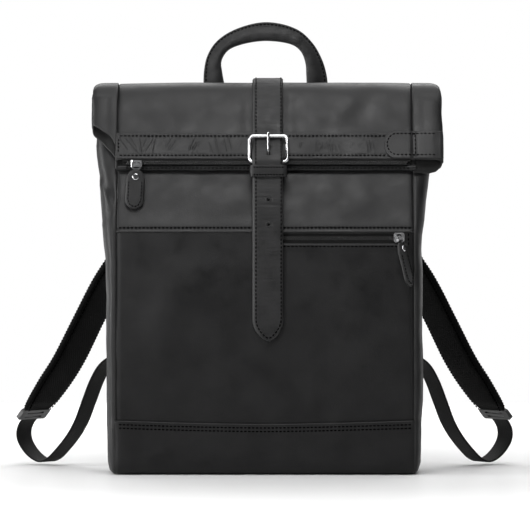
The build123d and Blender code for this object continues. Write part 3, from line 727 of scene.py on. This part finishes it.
band_x, band_z = crossed(stops(SEAM_AT[-1] + 0.6, SEAM_AT[1] - 0.4, 0.6), stops(317, 342, 0.9, near=1.0))
band_rise = 1.5 + 0.35 * rumple(band_x, band_z * 1.4, 16, 71) + 0.42 * band_creases(band_x, band_z)
for seam_z in (339.2, 320.0):
    pucker = 0.12 * np.sin(band_x * 2 * math.pi / 3.3) * ditch(band_z - seam_z, 1.4)
    band_rise += pucker - 0.35 * ditch(band_z - seam_z, 1.2)
flap_sheet("mouth_binding", band_x, band_z, band_rise, 1.5, "mouth_band")
band_row = np.linspace(SEAM_AT[-1] + 3, 122, 130)
flap_stitches("mouth_stitch_upper", band_row, 339.4)
flap_stitches("mouth_stitch_lower", band_row, 319.6)
flap_stitches("mouth_stitch_end", SEAM_AT[-1] + 2.4, np.linspace(322.5, 336.8, 20))

TAB_LEFT, TAB_RIGHT, TAB_Z, TAB_HALF = 121.0, 176.4, 330.4, 13.2
TAB_TURN = 3.7  # radius of the tab's turn round the side
tab_u = np.unique(np.concatenate([
    TAB_LEFT + 10 * np.linspace(0, 1, 12) ** 1.8, stops(TAB_LEFT + 10, TAB_RIGHT, 1.6),
    TAB_RIGHT + TAB_TURN * np.sin(np.linspace(0.15, 1.3, 9)),
]))
tab_x, tab_w = crossed(tab_u, eased(21))
tab_half = TAB_HALF * np.sqrt(1 - (1 - np.clip((tab_x - TAB_LEFT) / 10.0, 0, 1)) ** 2 + 1e-6) ** 0.8
tab_z = TAB_Z + tab_w * np.maximum(tab_half, 0.3)
tab_drop = -1.0 * rise(tab_x, 168, 178.5) - 1.2 * ditch(tab_x - SEAM_AT[1], 2.2)
tab_drop -= TAB_TURN * (1 - round_off(np.clip(tab_x - TAB_RIGHT, 0, None) / TAB_TURN))
tab_crease = 0.15 * crease(tab_x, tab_z, (126, 322), (146, 338), 5)
tab_lift = 3.1 + 0.3 * rumple(tab_x, tab_z, 18, 81) + tab_crease + tab_drop
flap_sheet("mouth_tab_cover", tab_x, tab_z, tab_lift, 1.6, "mouth_tab")
turn = np.linspace(0, math.pi / 2, 12)
rim_x = np.concatenate([np.linspace(172, 133, 30), TAB_LEFT + 2.4 + 9.6 * (1 - np.sin(turn))])
rim_z = np.concatenate([np.full(30, TAB_HALF - 2.4), 10.8 * np.cos(turn)])
rim_x, rim_z = np.concatenate([rim_x, rim_x[::-1][1:]]), np.concatenate([rim_z, -rim_z[::-1][1:]])
flap_stitches("tab_stitch_edge", rim_x, TAB_Z + rim_z, 3.05)
flap_stitches("tab_stitch_seam", SEAM_AT[1] + 1.6, np.linspace(320, 341, 20), 2.2)


def strip(name, line, x0, x1, body, seed, wave, *nodes, material=TAPE, thick=0.7, slot="zip_tape"):
    """A long strip across the bag with a (y, z) profile, which runs upwards so that its outer face looks forwards."""
    path = smooth_line(line, 0.7)
    n = outward(path)
    u, v = crossed(stops(x0, x1, 3.0, near=1.0), lengths(path))
    w = wave * rumple(u, v, 24, 90 + seed)
    grid = raised(u, path, n, w)
    finish_piece(sheet_piece(name, grid, thick, material), body, slot, *nodes)


strip("zip_tape_front", [(-36.9, 314.4), (-37.1, 315.4), (-35.4, 317.4), (-33.2, 321)], -142, 146, "flap", 1, 0.25,
      "mouth_zip_tape")
strip("zip_tape_back", [(-34.4, 311.2), (-33.0, 311.8), (-30.6, 314.5), (-28.6, 318)], -142, 146, "flap", 2, 0.25)
strip("mouth_hem", [(-31.2, 304.6), (-33.2, 305.4), (-34.0, 307.6), (-33.4, 309.6), (-31.8, 310.6)], SEAM_AT[-1] + 1,
      SEAM_AT[1] + 2, "flap", 3, 0.5, material=FLAP_SKIN, thick=1.4, slot="leather")
strung("mouth_hem_stitch", xyz(np.linspace(-140, 146, 90), -34.2, 307.4), (0, -1, 0), "flap")


def coil_piece(name, x0, x1, y, z, wide, high, body, node, pitch=1.75):
    """A zip's closed coil: two rows of small round teeth that meet in the middle."""
    points, faces = [], []
    turn = np.arange(8) * math.pi / 4
    ring = np.column_stack([0.42 * pitch * np.cos(turn), 0.5 * high * np.sin(turn)])
    for k in range(int((x1 - x0) / pitch)):
        x = x0 + (k + 0.5) * pitch
        for row, shift in ((-1, 0), (1, pitch / 2)):
            base = len(points)
            for w, girth, dip in ((0.0, 0.75, 0.0), (0.18, 1, 0), (0.8, 1, 0), (1.0, 0.6, 0.3)):
                for a, b in ring * girth:
                    points.append((x + shift + a, y - b + dip, z + row * (w * wide / 2)))
            tooth = ring_faces(4, 8, base).tolist()
            tooth.append([base + 24 + j for j in range(8)])
            faces += tooth if row < 0 else [face[::-1] for face in tooth]
    finish_piece(make_mesh(name, points, faces, COIL), body, "zip_coil", node)


coil_piece("mouth_teeth", -139, 144, -36.6, 312.6, 3.6, 1.9, "flap", "mouth_zip_coil")
coil_piece("pocket_teeth", ZIP_LEFT - 3, ZIP_RIGHT, -48.9, 236.7, 4.0, 2.0, "bag", "pocket_zip_coil")
strip("pocket_tape_low", [(-47.6, 228), (-48.6, 232.5), (-48.9, 235.2)], ZIP_LEFT - 5, ZIP_RIGHT + 4, "bag", 4, 0.1,
      "pocket_zip_tape")
strip("pocket_tape_high", [(-48.9, 238.2), (-48.4, 241), (-47.0, 245)], ZIP_LEFT - 5, ZIP_RIGHT + 4, "bag", 5, 0.1)

# ---- Stitching of the front panels
seam_row = np.linspace(SEAM_AT[-1] + 3, SEAM_AT[1] - 3, 100)
strung("upper_stitch", *on_face(UPPER_PATH, seam_row, 247.2, 0.3), "bag")
strung("pocket_stitch", *on_face(POCKET_PATH, np.linspace(ZIP_LEFT, ZIP_RIGHT + 1, 100), 228.6, 0.9), "bag")
zs = np.linspace(229, 242.5, 12)
strung("pocket_stitch_end", xyz(ZIP_RIGHT + 3.4, y_at(POCKET_PATH, zs) - 0.3, zs), (0, -1, 0), "bag")
for drop, name in ((3.2, "upper"), (6.8, "lower")):
    zs = band_edge(seam_row) - drop
    strung(f"base_stitch_{name}", xyz(seam_row, y_at(BAND_PATH, zs) - 1.25, zs), (0, -1, 0), "bag")

# ---- The closing strap
STRAP_THICK = 3.0
STITCH_LIFT = 1.42  # from the middle of a strap or handle out to its stitching
STRAP_OVER = [(52.6, 336), (51.0, 350), (47, 368), (38.8, 390), (24, 397.8), (12, 399), (3, 397), (-6, 390.6),
              (-12.4, 380), (-25.6, 349), (-28.8, 341), (-37.6, 329.2), (-45.4, 320.5), (-48.4, 314), (-49, 307),
              (-49.4, 302.6)]
TAIL = [(-49.4, 302.8), (-49.9, 296.6), (-54, 278), (-57.4, 245), (-59.4, 200), (-60.4, 162), (-60.2, 134)]
TIP_Z = 134  # the end of the tail
HOLES = (275.2, 250.2)  # heights of the spare holes
HOLE_RADIUS = 1.6
PRONG_SLOT = (324.6, 4.8, 2.0)  # height, half length, radius


def pointed(z):
    """The tail's half width: straight, then a rounded point."""
    return STRAP_HALF * np.maximum(np.sin(np.clip((z - TIP_Z) / 22, 0, 1) * math.pi / 2) ** 0.55, 0.03)


def strap_sheet(name, path, tip, holes, seed, *nodes, on):
    """A strap that hangs down its path, with fine creases across it, dented edges and punched holes (height, half
    length, radius). tip says whether it ends in a point."""
    total = lengths(path)[-1]
    spots = [hanging(path, z) for z, _, _ in holes]
    s = stops(0, total, 1.0, fine=[a + k for a, (_, h, _) in zip(spots, holes) for k in (-h, h)], near=2.0)
    p = along(path, s)
    n = -outward(p)
    half = pointed(p[:, 1]) if tip else np.full(len(s), STRAP_HALF)
    uu, ss = crossed(stops(-1, 1, 0.09, fine=(0,), near=0.11), s)
    x = uu * half
    edge = np.minimum(half * (1 - np.abs(uu)), (total - ss) if tip else STRAP_HALF)
    lift = STRAP_THICK / 2 - 0.5 * ditch(edge, 0.7) - 0.22 * ditch(edge - 2.6, 0.8) + 0.12 * rumple(x, ss, 20, seed)
    rng = np.random.default_rng(seed)
    for _ in range(190):
        at, middle, reach_x, width = (rng.uniform(*k) for k in ((0, 420), (-12, 12), (4, 12), (0.4, 0.9)))
        lift = lift - 0.2 * ditch((ss - at - 0.06 * x) / width, 1) * ditch(x - middle, reach_x) * rise(edge, 2.6, 4)
    cell_x, cell_s = (x[1:, 1:] + x[:-1, :-1]) / 2, (ss[1:, 1:] + ss[:-1, :-1]) / 2
    gone = np.zeros(cell_x.shape, bool)
    for at, (_, long, radius) in zip(spots, holes):
        gone |= np.hypot(cell_x, np.maximum(np.abs(cell_s - at) - long, 0)) < radius + 0.4
    grid = raised(x + STRAP_X, p, n, lift)
    finish_piece(sheet_piece(name, grid, STRAP_THICK, STRAP_SKIN, hole=gone, out=-1), on, "edge_leather", *nodes)


over_path, tail_path = smooth_line(STRAP_OVER, 0.5), smooth_line(TAIL, 0.5)
strap_sheet("closing_strap", over_path, False, [PRONG_SLOT], 7, "closure_strap_root", "closure_strap_upper",
            on=FOLD_BEND)
strap_sheet("closing_strap_tail", tail_path, True, [(z, 0, HOLE_RADIUS + 0.1) for z in HOLES], 8, "closure_strap_tail",
            on=TAIL_BEND)


def strap_hole(name, level):
    """A punched hole's pressed rim, and a near-black disc in it as painted shade for its dark inside, at a height on
    the tail.
    """
    at = hanging(tail_path, level)
    before, middle, after = along(tail_path, [at - 1.0, at, at + 1.0])
    t = unit(after - before)
    out, ahead = np.array([0, t[1], -t[0]]), np.array([0, t[0], t[1]])
    turn = np.linspace(0, 2 * math.pi, 33)[:-1, None]

    def ring(radius, lift):
        return np.array([STRAP_X, *middle]) + (ACROSS * np.cos(turn) + ahead * np.sin(turn)) * radius + out * lift

    rim = ((1.7, 1.1), (1.5, 1.5), (0.5, 1.62), (0, 1.4), (0, -1.3))
    sections = [ring(HOLE_RADIUS + wider, lift) for wider, lift in rim]
    finish_piece(tube_piece(name, sections, STRAP_SKIN, caps=False), TAIL_BEND, "edge_leather")
    # Painted shade: a near-black disc inside the hole stands in for the shadowed leather below it.
    hole_shade_disc = make_mesh(f"{name}_inside", ring(HOLE_RADIUS + 0.3, 0.5), [range(32)], THREAD)
    finish_piece(hole_shade_disc, TAIL_BEND, "edge_leather")


for k, level in enumerate(HOLES):
    strap_hole(f"strap_hole_{k}", level)
face = over_path[8:]
n = -outward(face)
n = xyz(0, n[:, 0], n[:, 1])
for side, hand in HANDS:
    row = xyz(STRAP_X + side * (STRAP_HALF - STITCH_IN), face[:, 0], face[:, 1]) + n * STITCH_LIFT
    strung(f"strap_stitch_{hand}", row, n, FOLD_BEND)
low_z = np.concatenate([np.linspace(299, 160, 60), np.linspace(159, 137.2, 26)])
low_half = np.maximum(pointed(low_z - 2.2 * rise(-low_z, -160, -140)) - STITCH_IN, 0)
low_y = y_at(tail_path, low_z) - STITCH_LIFT
row = np.vstack([xyz(STRAP_X + low_half, low_y, low_z), xyz(STRAP_X - low_half, low_y, low_z)[::-1]])
strung("strap_tail_stitch", row, (0, -1, 0), TAIL_BEND)

# ---- Keeper and buckle strap
KEEPER_Z = 304.0
ring = rounded_ring(17.7, -53.4, -38.6, 3.2, 5)
ring = xyz(ring[:, 0] + STRAP_X, ring[:, 1], KEEPER_Z)
ring = resample(np.vstack([ring, ring[:1]]), 1.6)[:-1]
ring_out = np.cross(unit(np.roll(ring, -1, axis=0) - np.roll(ring, 1, axis=0)), UP)
section = band_section(5.8, 1.5, 0.6, crown=0.35)
stitch_dent = 0.3 * ditch(np.abs(section[:, :1]) - 4.3, 0.7)
wobble = 1 + 0.03 * np.sin(np.arange(len(ring)) * 0.9)
sections = [p + UP * section[:, :1] * w + o * (section[:, 1:] - stitch_dent) for p, o, w in zip(ring, ring_out, wobble)]
keeper = tube_piece("keeper", sections, STRAP_SKIN, closed=True, caps=False)
finish_piece(keeper, "buckle_base", "edge_leather", "strap_keeper")
for z, name in ((KEEPER_Z + 3.7, "upper"), (KEEPER_Z - 3.7, "lower")):
    row = xyz(np.linspace(STRAP_X - 15.6, STRAP_X + 15.6, 30), -54.4, z)
    strung(f"keeper_stitch_{name}", row, (0, -1, 0), "buckle_base", pitch=2.7, size=1.8)

BUCKLE_STRAP = [(-53.0, 247.2), (-51.4, 256), (-48.8, 275), (-45.2, 293), (-42.8, 303), (-41.6, 308.2)]
HEEL_Y, HEEL_Z = -42.4, 313.6  # the middle of the buckle's bar
line = smooth_line(BUCKLE_STRAP, 1.5)
line = xyz(STRAP_X, line[:, 0], line[:, 1])
piece = strap_piece("buckle_strap_leather", line, -ACROSS, STRAP_HALF - 0.5, 2.1, STRAP_SKIN, corner=0.8)
finish_piece(piece, "buckle_base", "edge_leather", "buckle_strap")
turn = np.radians(np.linspace(-10, 195, 16))
loop = np.column_stack([HEEL_Y + 3.2 * np.cos(turn), HEEL_Z + 3.2 * np.sin(turn)])
loop = np.vstack([[(-41.0, 306.6), (-39.7, 310.0)], loop, [(-45.4, 310.2), (-44.8, 306.4)]])
for side, hand in HANDS:
    line = xyz(STRAP_X + side * 8.2, loop[:, 0], loop[:, 1])
    piece = strap_piece(f"buckle_loop_{hand}", line, -ACROSS, 4.8, 1.5, STRAP_SKIN)
    finish_piece(piece, "buckle_base", "edge_leather")


# ---- Zip pulls
def turned(angles):
    """The rotation by three angles in degrees about x, y and z, each about the turned axis."""
    (a, p), (b, q), (c, r) = ((math.cos(v), math.sin(v)) for v in np.radians(angles))
    about_x = np.array([[1, 0, 0], [0, a, -p], [0, p, a]])
    about_y = np.array([[b, 0, q], [0, 1, 0], [-q, 0, b]])
    about_z = np.array([[c, -r, 0], [r, c, 0], [0, 0, 1]])
    return about_x @ about_y @ about_z


PULL_END = 43.0  # below the ring


def pull_half(v):
    """A pull's half width at a distance below its ring: a neck, then straight, then a round end."""
    neck = 5.2 + 3.1 * rise(v, 4.4, 13.0)
    low = np.sqrt(np.clip(1 - ((v - 35.0) / 8.1) ** 2, 0.0004, 1))
    top = np.sqrt(np.clip(1 - ((6.4 - v) / 2.2) ** 2, 0.01, 1))
    return neck * np.where(v > 35.6, low, 1) * np.where(v < 6.4, top, 1)


def pull_piece(name, place, angles, body, node, bend, longer=1.0):
    """A stitched leather pull."""
    turn = turned(angles)

    def placed(x, y, v):
        return xyz(x, y + bend * ((v - 4.4) / 38) ** 2, -v * longer) @ turn.T + place

    v = np.unique(np.concatenate([stops(4.3, PULL_END, 1.0, near=1.2), PULL_END - 2.4 * np.linspace(0, 1, 9) ** 2]))
    uu, vv = crossed(eased(17), v)
    x = uu * pull_half(vv)
    edge = np.minimum(pull_half(vv) - np.abs(x), PULL_END - vv)
    face = -1.35 + 0.5 * ditch(edge, 0.8) + 0.22 * ditch(edge - 1.8, 0.6) - 0.12 * rumple(x, vv, 7, 12)
    piece = sheet_piece(name, placed(x, face, vv), 2.7, STRAP_SKIN, out=-1)
    finish_piece(piece, body, "edge_leather", node)
    # The stitching runs down one side, round the end and up the other
    round_end = np.linspace(0.1, 1, 8) * math.pi / 2
    side = np.linspace(15.5, 35.6, 14)
    half = np.concatenate([pull_half(side) - 1.8, 5.7 * np.cos(round_end)])
    side = np.concatenate([side, 35.6 + 5.7 * np.sin(round_end)])
    row = placed(np.concatenate([half, -half[::-1][1:]]), -1.3, np.concatenate([side, side[::-1][1:]]))
    strung(f"{name}_stitch", row, turn @ np.array([0, -1.0, 0]), body, pitch=3.2, size=2.2, radius=0.5)


pull_piece("mouth_pull_leather", (-128.5, -41.6, 309.4), (-6.5, 3, 0), "mouth_zip_pull", "mouth_pull_tab", -0.6)
pull_piece("pocket_pull_leather", (134.5, -58.9, 236.9), (-7.5, -14, 62), "pocket_zip_pull", "pocket_pull_tab", 0.8,
           longer=1.14)

# ---- Carrying handle
# Matching points (x, z) of its outer and inner edge, from the left end over to the right end
HANDLE_EDGES = [
    (-60.5, 340, -41.4, 340), (-61.2, 356, -41.2, 356), (-62, 372, -41, 372), (-62.8, 392, -40.6, 390),
    (-62.4, 410, -43.4, 408), (-59.2, 425, -44.4, 419.5), (-49.8, 440, -38, 430.5), (-31.4, 452.4, -24, 437),
    (2, 460.4, 2, 440.8), (34.5, 452.4, 28.5, 436.8), (49.8, 438.5, 38, 429), (58.8, 423, 42.2, 417.5),
    (63.6, 408, 43, 406), (65.4, 392, 43.6, 390), (65, 372, 44, 372), (64.6, 356, 44, 356), (64, 340, 44, 340),
]


def handle_y(z):
    return np.interp(z, [340, 356, 366, 378, 386], [52.9, 53.6, 55.4, 57.2, 57.4])


pairs = smooth_line(HANDLE_EDGES, 3.0)
outer_edge, inner_edge = pairs[:, :2], pairs[:, 2:]
w = np.concatenate([[0, 0.02, 0.06, 0.12], np.linspace(0.2, 0.84, 12), [0.885, 0.93, 0.965, 0.985, 1.0]])
share = np.linspace(0, 1, len(pairs))
arch = rise(share, 0.08, 0.24) * (1 - rise(share, 0.76, 0.92))  # 1 where the handle is padded
sections = []
for k in range(len(pairs)):
    full = 3.4 + 5.0 * arch[k]
    thick = full * round_off((0.3 - np.minimum(w, 0.3)) / 0.3) - (full - 3.2) * rise(w, 0.35, 0.84)
    thick = thick * np.where(w > 0.93, 0.35 + 0.65 * round_off((w - 0.93) / 0.07), 1) - 0.5 * ditch(w - 0.88, 0.03)
    x, z = (inner_edge[k] + (outer_edge[k] - inner_edge[k]) * w[:, None]).T
    ripple = 0.32 * math.sin(k * 0.9) * arch[k] * (1 - w) ** 2 + 0.3 * rumple(w * 20, k * 3.0, 9, 14)
    y = handle_y(z)
    front = xyz(x, y - thick / 2 - ripple * rise(w, 0, 0.2) * (1 - rise(w, 0.7, 0.9)), z)
    sections.append(np.vstack([front, xyz(x, y + thick / 2, z)[::-1][1:-1]]))
handle = tube_piece("carrying_handle", sections, STRAP_SKIN)
finish_piece(handle, HANDLE_BEND, "edge_leather", "handle", "handle_ends")
x, z = (inner_edge + (outer_edge - inner_edge) * 0.875).T
for face, where in ((-1, "front"), (1, "back")):
    strung(f"handle_stitch_{where}", xyz(x, handle_y(z) + face * STITCH_LIFT, z), (0, face, 0), HANDLE_BEND)

# ---- Shoulder straps. Each hangs in a loop in an upright plane, which splays out from the back
SPLAY = math.radians(34)
LOOP_X, LOOP_Y = 145, 69  # where they leave the back
# Where a pad lies on the back: (x, y, z, width, turn from flat on the back (0) to square with the loop's plane (1))
PAD_ROOT = [(50, 56.8, 326, 42, 0), (64, 60.5, 307, 46, 0.05), (92, 69, 278, 54, 0.2), (120, 78.6, 249, 56, 0.5),
            (135, 77, 232, 56, 0.85), (LOOP_X, LOOP_Y, 217, 55, 1)]
# Where it runs in the loop: (distance out, z, width)
PAD_RUN = [(20, 193, 53), (46, 153, 52), (72, 111, 54), (89, 89, 55), (107, 67, 48), (114, 59, 42)]
WEB_RUN = [(123.4, 48.4), (127.4, 44), (130.6, 38), (131.4, 31.5), (129.6, 24.5), (122.5, 15), (112.5, 7.5), (102, 4.2),
           (91.5, 7.5), (80.5, 16.5), (69.6, 27.5), (61.5, 37.5), (54.6, 48.5), (45, 69.5), (35, 90.5), (24, 106),
           (12, 114), (1, 116.3), (-3, 120), (-7, 121.5), (-11.5, 119), (-14, 112)]
# The webbing's end at the bag: (x, y, z, turn)
WEB_END = [(132.6, 61.2, 101, 0.6), (131.6, 58.2, 90, 0.25), (131, 56, 78, 0)]


def loop_point(side, run, height):
    """A point of a shoulder strap's loop."""
    return [side * (LOOP_X + run * math.cos(SPLAY)), LOOP_Y + run * math.sin(SPLAY), height]


def loop_bend(side, hand, height):
    start, end = (tuple(np.array(loop_point(side, run, height)) * MM) for run in (-3, 9))
    return ("bag", f"shoulder_strap_{hand}", start, end)


def across_loop(side, turn):
    flat, square = side * ACROSS, np.array([side * math.sin(SPLAY), -math.cos(SPLAY), 0.0])
    return unit(flat * (1 - turn) + square * turn)


def web_ribs(s, x):
    return 0.1 * np.sin(x * math.pi / 1.6) + 0.08 * math.sin(s * 2.1)


for side, hand in HANDS:
    data = [(side * x, y, z, width, turn) for x, y, z, width, turn in PAD_ROOT]
    data += [(*loop_point(side, run, z), width, 1) for run, z, width in PAD_RUN]
    data = smooth_line(data, 3.5)
    path, width = data[:, :3], data[:, 3]
    across, out = frames(path, across_loop(side, np.clip(data[:, 4:], 0, 1)))
    s = lengths(path)
    ends = np.minimum(s, s[-1] - s)
    v = eased(23)
    rim = np.where(np.abs(v) > 0.999, 0.3, 1)
    sections = []
    for k in range(len(path)):
        puff = 2.6 + 6.2 * np.clip(1 - np.abs(v) ** 5, 0, 1) ** 0.6 * rise(ends[k], 0, 14)
        puff = puff * (1 - 0.10 * ditch(np.abs(v) - 0.86, 0.05)) + 0.25 * rumple(v * 20, s[k], 24, 15)
        middle, half = path[k] + across[k] * (v * width[k] / 2)[:, None], out[k] * (puff * rim / 2)[:, None]
        sections.append(np.vstack([middle + half, (middle - half)[::-1]]))
    bend = loop_bend(side, hand, 215)
    pad = tube_piece(f"shoulder_pad_{hand}", sections, MESH)
    finish_piece(pad, bend, "mesh", f"strap_root_{hand}", f"strap_pad_{hand}")
    for edge, which in ((-1, "inner"), (1, "outer")):
        for face, where in ((-1, "under"), (1, "over")):
            row = path + across * (edge * (width / 2 - 3.4))[:, None] + out * face * 3.6
            strung(f"pad_stitch_{which}_{where}_{hand}", row, out * face, bend, "webbing", pitch=3.6)

    # The last column is weighted, so that the turn counts in the spacing of the points
    web = [(*loop_point(side, run, z), 8) for run, z in WEB_RUN] + [(side * x, y, z, 8 * t) for x, y, z, t in WEB_END]
    web = smooth_line(web, 1.6)
    across = across_loop(side, np.clip(web[:, 3:] / 8, 0, 1))
    webbing = strap_piece(f"webbing_{hand}", web[:, :3], across, 12.5, 1.8, WEB, count=15, bumps=web_ribs)
    finish_piece(webbing, loop_bend(side, hand, 117), "webbing", f"strap_webbing_{hand}", f"webbing_end_{hand}")


# ---- Back
def back_pad(side, hand):
    """A padded mesh panel, sewn down round its edge and along two channels."""
    half_w, half_h, radius = 42.0, 115.0, 18.0
    middle_x, middle_z = side * 58, 165
    uu, vv = crossed(eased(33), eased(61))
    z = vv * half_h
    corner = np.clip(np.abs(z) - (half_h - radius), 0, radius)
    width = half_w - radius + np.sqrt(np.maximum(radius**2 - corner**2, 0.01))
    x = uu * width
    inset = np.minimum(width - np.abs(x), half_h - np.abs(z))
    puff = 1.2 + 6.0 * rise(inset, 0, 13) ** 0.7
    puff = puff - 3.6 * (ditch(z - 40, 3.5) + ditch(z + 40, 3.5)) * rise(inset, 0, 8)
    puff = puff + 0.4 * rumple(x, z, 30, 16 + side)
    pad = sheet_piece(f"back_pad_{hand}", xyz(middle_x + x, 50.3 + puff, middle_z + z), 1.0, MESH, out=-1)
    finish_piece(pad, "bag", "mesh", *(["back_pads"] if side < 0 else []))
    ring = rounded_ring(half_w - 2.5, -(half_h - 2.5), half_h - 2.5, radius - 2, 6)
    ring = resample(np.vstack([ring, ring[:1]]), 3)
    strung(f"back_pad_stitch_{hand}", xyz(middle_x + ring[:, 0], 52.6, middle_z + ring[:, 1]), (0, 1, 0), "bag")


for side, hand in HANDS:
    back_pad(side, hand)


def yoke_edge(x):
    """The height of the yoke's lower edge."""
    return 300 + 9 * np.abs(x / 92) ** 2.2


yu, yw = crossed(stops(-92, 92, 3.0), np.linspace(0, 1, 30))
yoke_z = yoke_edge(yu) + (360 - yoke_edge(yu)) * yw
yoke_grid = xyz(yu, y_at(BACK_FACE, yoke_z) + 1.8 + 0.3 * rumple(yu, yoke_z, 30, 17), yoke_z)
finish_piece(sheet_piece("yoke", yoke_grid, 1.5, PANEL, out=-1), "bag", "leather", "back_yoke")
xs = np.linspace(-88, 88, 70)
zs = yoke_edge(xs) + 3
strung("yoke_stitch", xyz(xs, y_at(BACK_FACE, zs) + 1.9, zs), (0, 1, 0), "bag")
strung("yoke_stitch_top", xyz(xs, y_at(BACK_FACE, 357.0) + 1.9, 357.0), (0, 1, 0.2), "bag")

CORNER_ROW = [(139.6, 40), (139.6, 89.6), (122, 92.6), (119.4, 80), (138, 42)]  # (x, z) of its stitching
for side, hand in HANDS:
    a, b = crossed(stops(0, 1, 0.08, near=0.03), stops(0, 1, 0.06, near=0.02))
    x = (142 - 24 * a) - 2 * a * (1 - b)
    z = (34 + 58 * b) * (1 - a) + (78 + 17 * b) * a
    grid = xyz(side * x, 53.3 + 0.25 * rumple(x, z, 14, 18), z)
    tab = sheet_piece(f"corner_tab_{hand}_leather", grid, 3.0, PANEL, out=side)
    finish_piece(tab, "bag", "leather", f"corner_tab_{hand}")
    row = np.array([(side * x, 53.4, z) for x, z in CORNER_ROW])
    strung(f"corner_stitch_{hand}", resample(row, 2), (0, 1, 0), "bag")

# ---- Inside
LINING_LEVELS = [(6, -36, 40), (12, -45, 46), (58, -48.5, 46.4), (160, -48.5, 46.4), (243, -43, 46.4), (372, 5, 34)]
level_z, level_front, level_back = np.array(LINING_LEVELS, float).T
sections = []
for inset in (0.0, 0.8):
    heights = np.linspace(6 + inset, 372, 60)
    for z in heights[::-1] if inset else heights:
        y0, y1 = np.interp(z, level_z, level_front), np.interp(z, level_z, level_back)
        ring = rounded_ring(144.6 - inset, y0 + 0.3 + inset, y1 - 0.3 - inset, 5, 4)
        ring = np.vstack([ring, ring[:1]])
        ring = along(ring, np.linspace(0, 1, 77)[:-1] * lengths(ring)[-1])
        sag = np.abs(0.5 * rumple(ring[:, 0] + ring[:, 1], z, 26, 19))
        ring = ring + unit(np.array([0, (y0 + y1) / 2]) - ring) * sag[:, None]
        sections.append(xyz(ring[:, 0], ring[:, 1], z))
finish_piece(tube_piece("lining_bag", sections, LINING), "bag", "lining", "lining")

du, dv = crossed(stops(-131, 131, 4), stops(9, 265, 4))
puff = 1.2 * np.cos(du * math.pi / 40) ** 2 * np.cos(dv * math.pi / 40) ** 2 + 0.3 * rumple(du, dv, 40, 23)
divider = sheet_piece("laptop_sleeve_wall", xyz(du, 25.2 - puff, dv), 4.0, LINING)
finish_piece(divider, "bag", "lining", "laptop_divider")
pu, pv = crossed(stops(-8, 142, 4), stops(109, 227, 4))
inner_pocket = sheet_piece("pocket_lining", xyz(pu, -49.9 + 0.25 * rumple(pu, pv, 30, 24), pv), 0.6, LINING)
finish_piece(inner_pocket, "bag", "lining", "pocket_bag")

# ---- CAD pieces that show as they are
FINISHES = {
    NICKEL: ["buckle_frame", "buckle_prong", "mouth_slider", "mouth_pull_ring", "mouth_pull_rivet", "pocket_slider",
             "pocket_pull_ring", "pocket_pull_rivet"],
    MOULDED: ["ladder_lock_left", "ladder_lock_right", "base_board"],
}
for material, names in FINISHES.items():
    for name in names:
        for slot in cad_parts[name].material_slots:
            slot.material = material


# ---- Camera, floor and light
def place_at(name, data, place, target):
    """A camera or light that looks from its place towards a point."""
    thing = bpy.data.objects.new(name, data)
    thing.location = place
    bpy.context.scene.collection.objects.link(thing)
    thing.rotation_euler = (thing.location - mathutils.Vector(target)).to_track_quat("Z", "Y").to_euler()
    return thing


lens = bpy.data.cameras.new("camera")
lens.sensor_width = 36
lens.lens = 237.7
lens.clip_end = 50
bpy.context.scene.camera = place_at("camera", lens, (0.0005, -3.55, 0.21), (0.0005, 0, 0.21))

turn = np.linspace(0, 2 * math.pi, 97)[:-1]
floor_points = np.vstack([[[0, 0, 0]]] + [
    xyz(r * np.cos(turn), r * np.sin(turn), 0) for r in (400, 800, 1200, 1600, 1800)
])
floor_faces = [[0, 1 + k, 1 + (k + 1) % 96] for k in range(96)] + ring_faces(5, 96, 1, flip=True).tolist()
m = Shading(bpy.data.materials.new("floor"))
away = m.nodes.new("ShaderNodeVectorMath")
away.operation = "LENGTH"
m.put(away.inputs[0], m.where)
m.set(Base_Color=m.ramp(away.outputs["Value"], 0.62, 0.96, (0.3, 1.0)), Roughness=0.35, Specular_IOR_Level=0.3)
make_mesh("floor", floor_points, floor_faces, m.owner)

# A studio room: white behind the bag, dimmer behind the camera and overhead
m = Shading(bpy.data.worlds.new("world"), "Background", "Generated")
toward = m.nodes.new("ShaderNodeSeparateXYZ")
m.put(toward.inputs[0], m.where)
walls = m.ramp(m.number("ADD", toward.outputs["Y"], 0.5), 0.3, 1, (0.75, 1.0))
is_high = m.number("GREATER_THAN", toward.outputs["Z"], 0.11)
is_low = m.number("LESS_THAN", toward.outputs["Z"], -0.09)
m.set(Color=m.mixed(is_low, m.mixed(is_high, walls, (0.1, 0.1, 0.1, 1)), (1, 1, 1, 1)), Strength=1.0)
bpy.context.scene.world = m.owner

# Rectangular area lights: place, target, size, power
LIGHTS = {
    "key": ((0.0, -1.15, 1.5), (0.03, 0, 0.3), (0.8, 0.6), 21),
    "left_front": ((-0.75, -1.2, 0.55), (-0.12, 0, 0.24), (0.4, 0.4), 8),
    "top": ((0.2, -0.1, 2.3), (0, 0, 0.1), (1.8, 1.4), 26),
    "back": ((0.0, 1.5, 1.9), (0, 1.3, 0), (2.6, 1.4), 60),
    "left_rim": ((-2.2, -0.2, 0.7), (0, 0, 0.22), (0.5, 1.4), 60),
    "right_rim": ((2.2, 0.6, 0.9), (0, 0, 0.22), (0.5, 1.4), 4),
}
for name, (place, target, size, power) in LIGHTS.items():
    lamp = bpy.data.lights.new(name, "AREA")
    lamp.shape = "RECTANGLE"
    lamp.size, lamp.size_y = size
    lamp.energy = power
    place_at(name, lamp, place, target)

bpy.context.scene.view_settings.view_transform = "Standard"
bpy.context.scene.view_settings.look = "None"
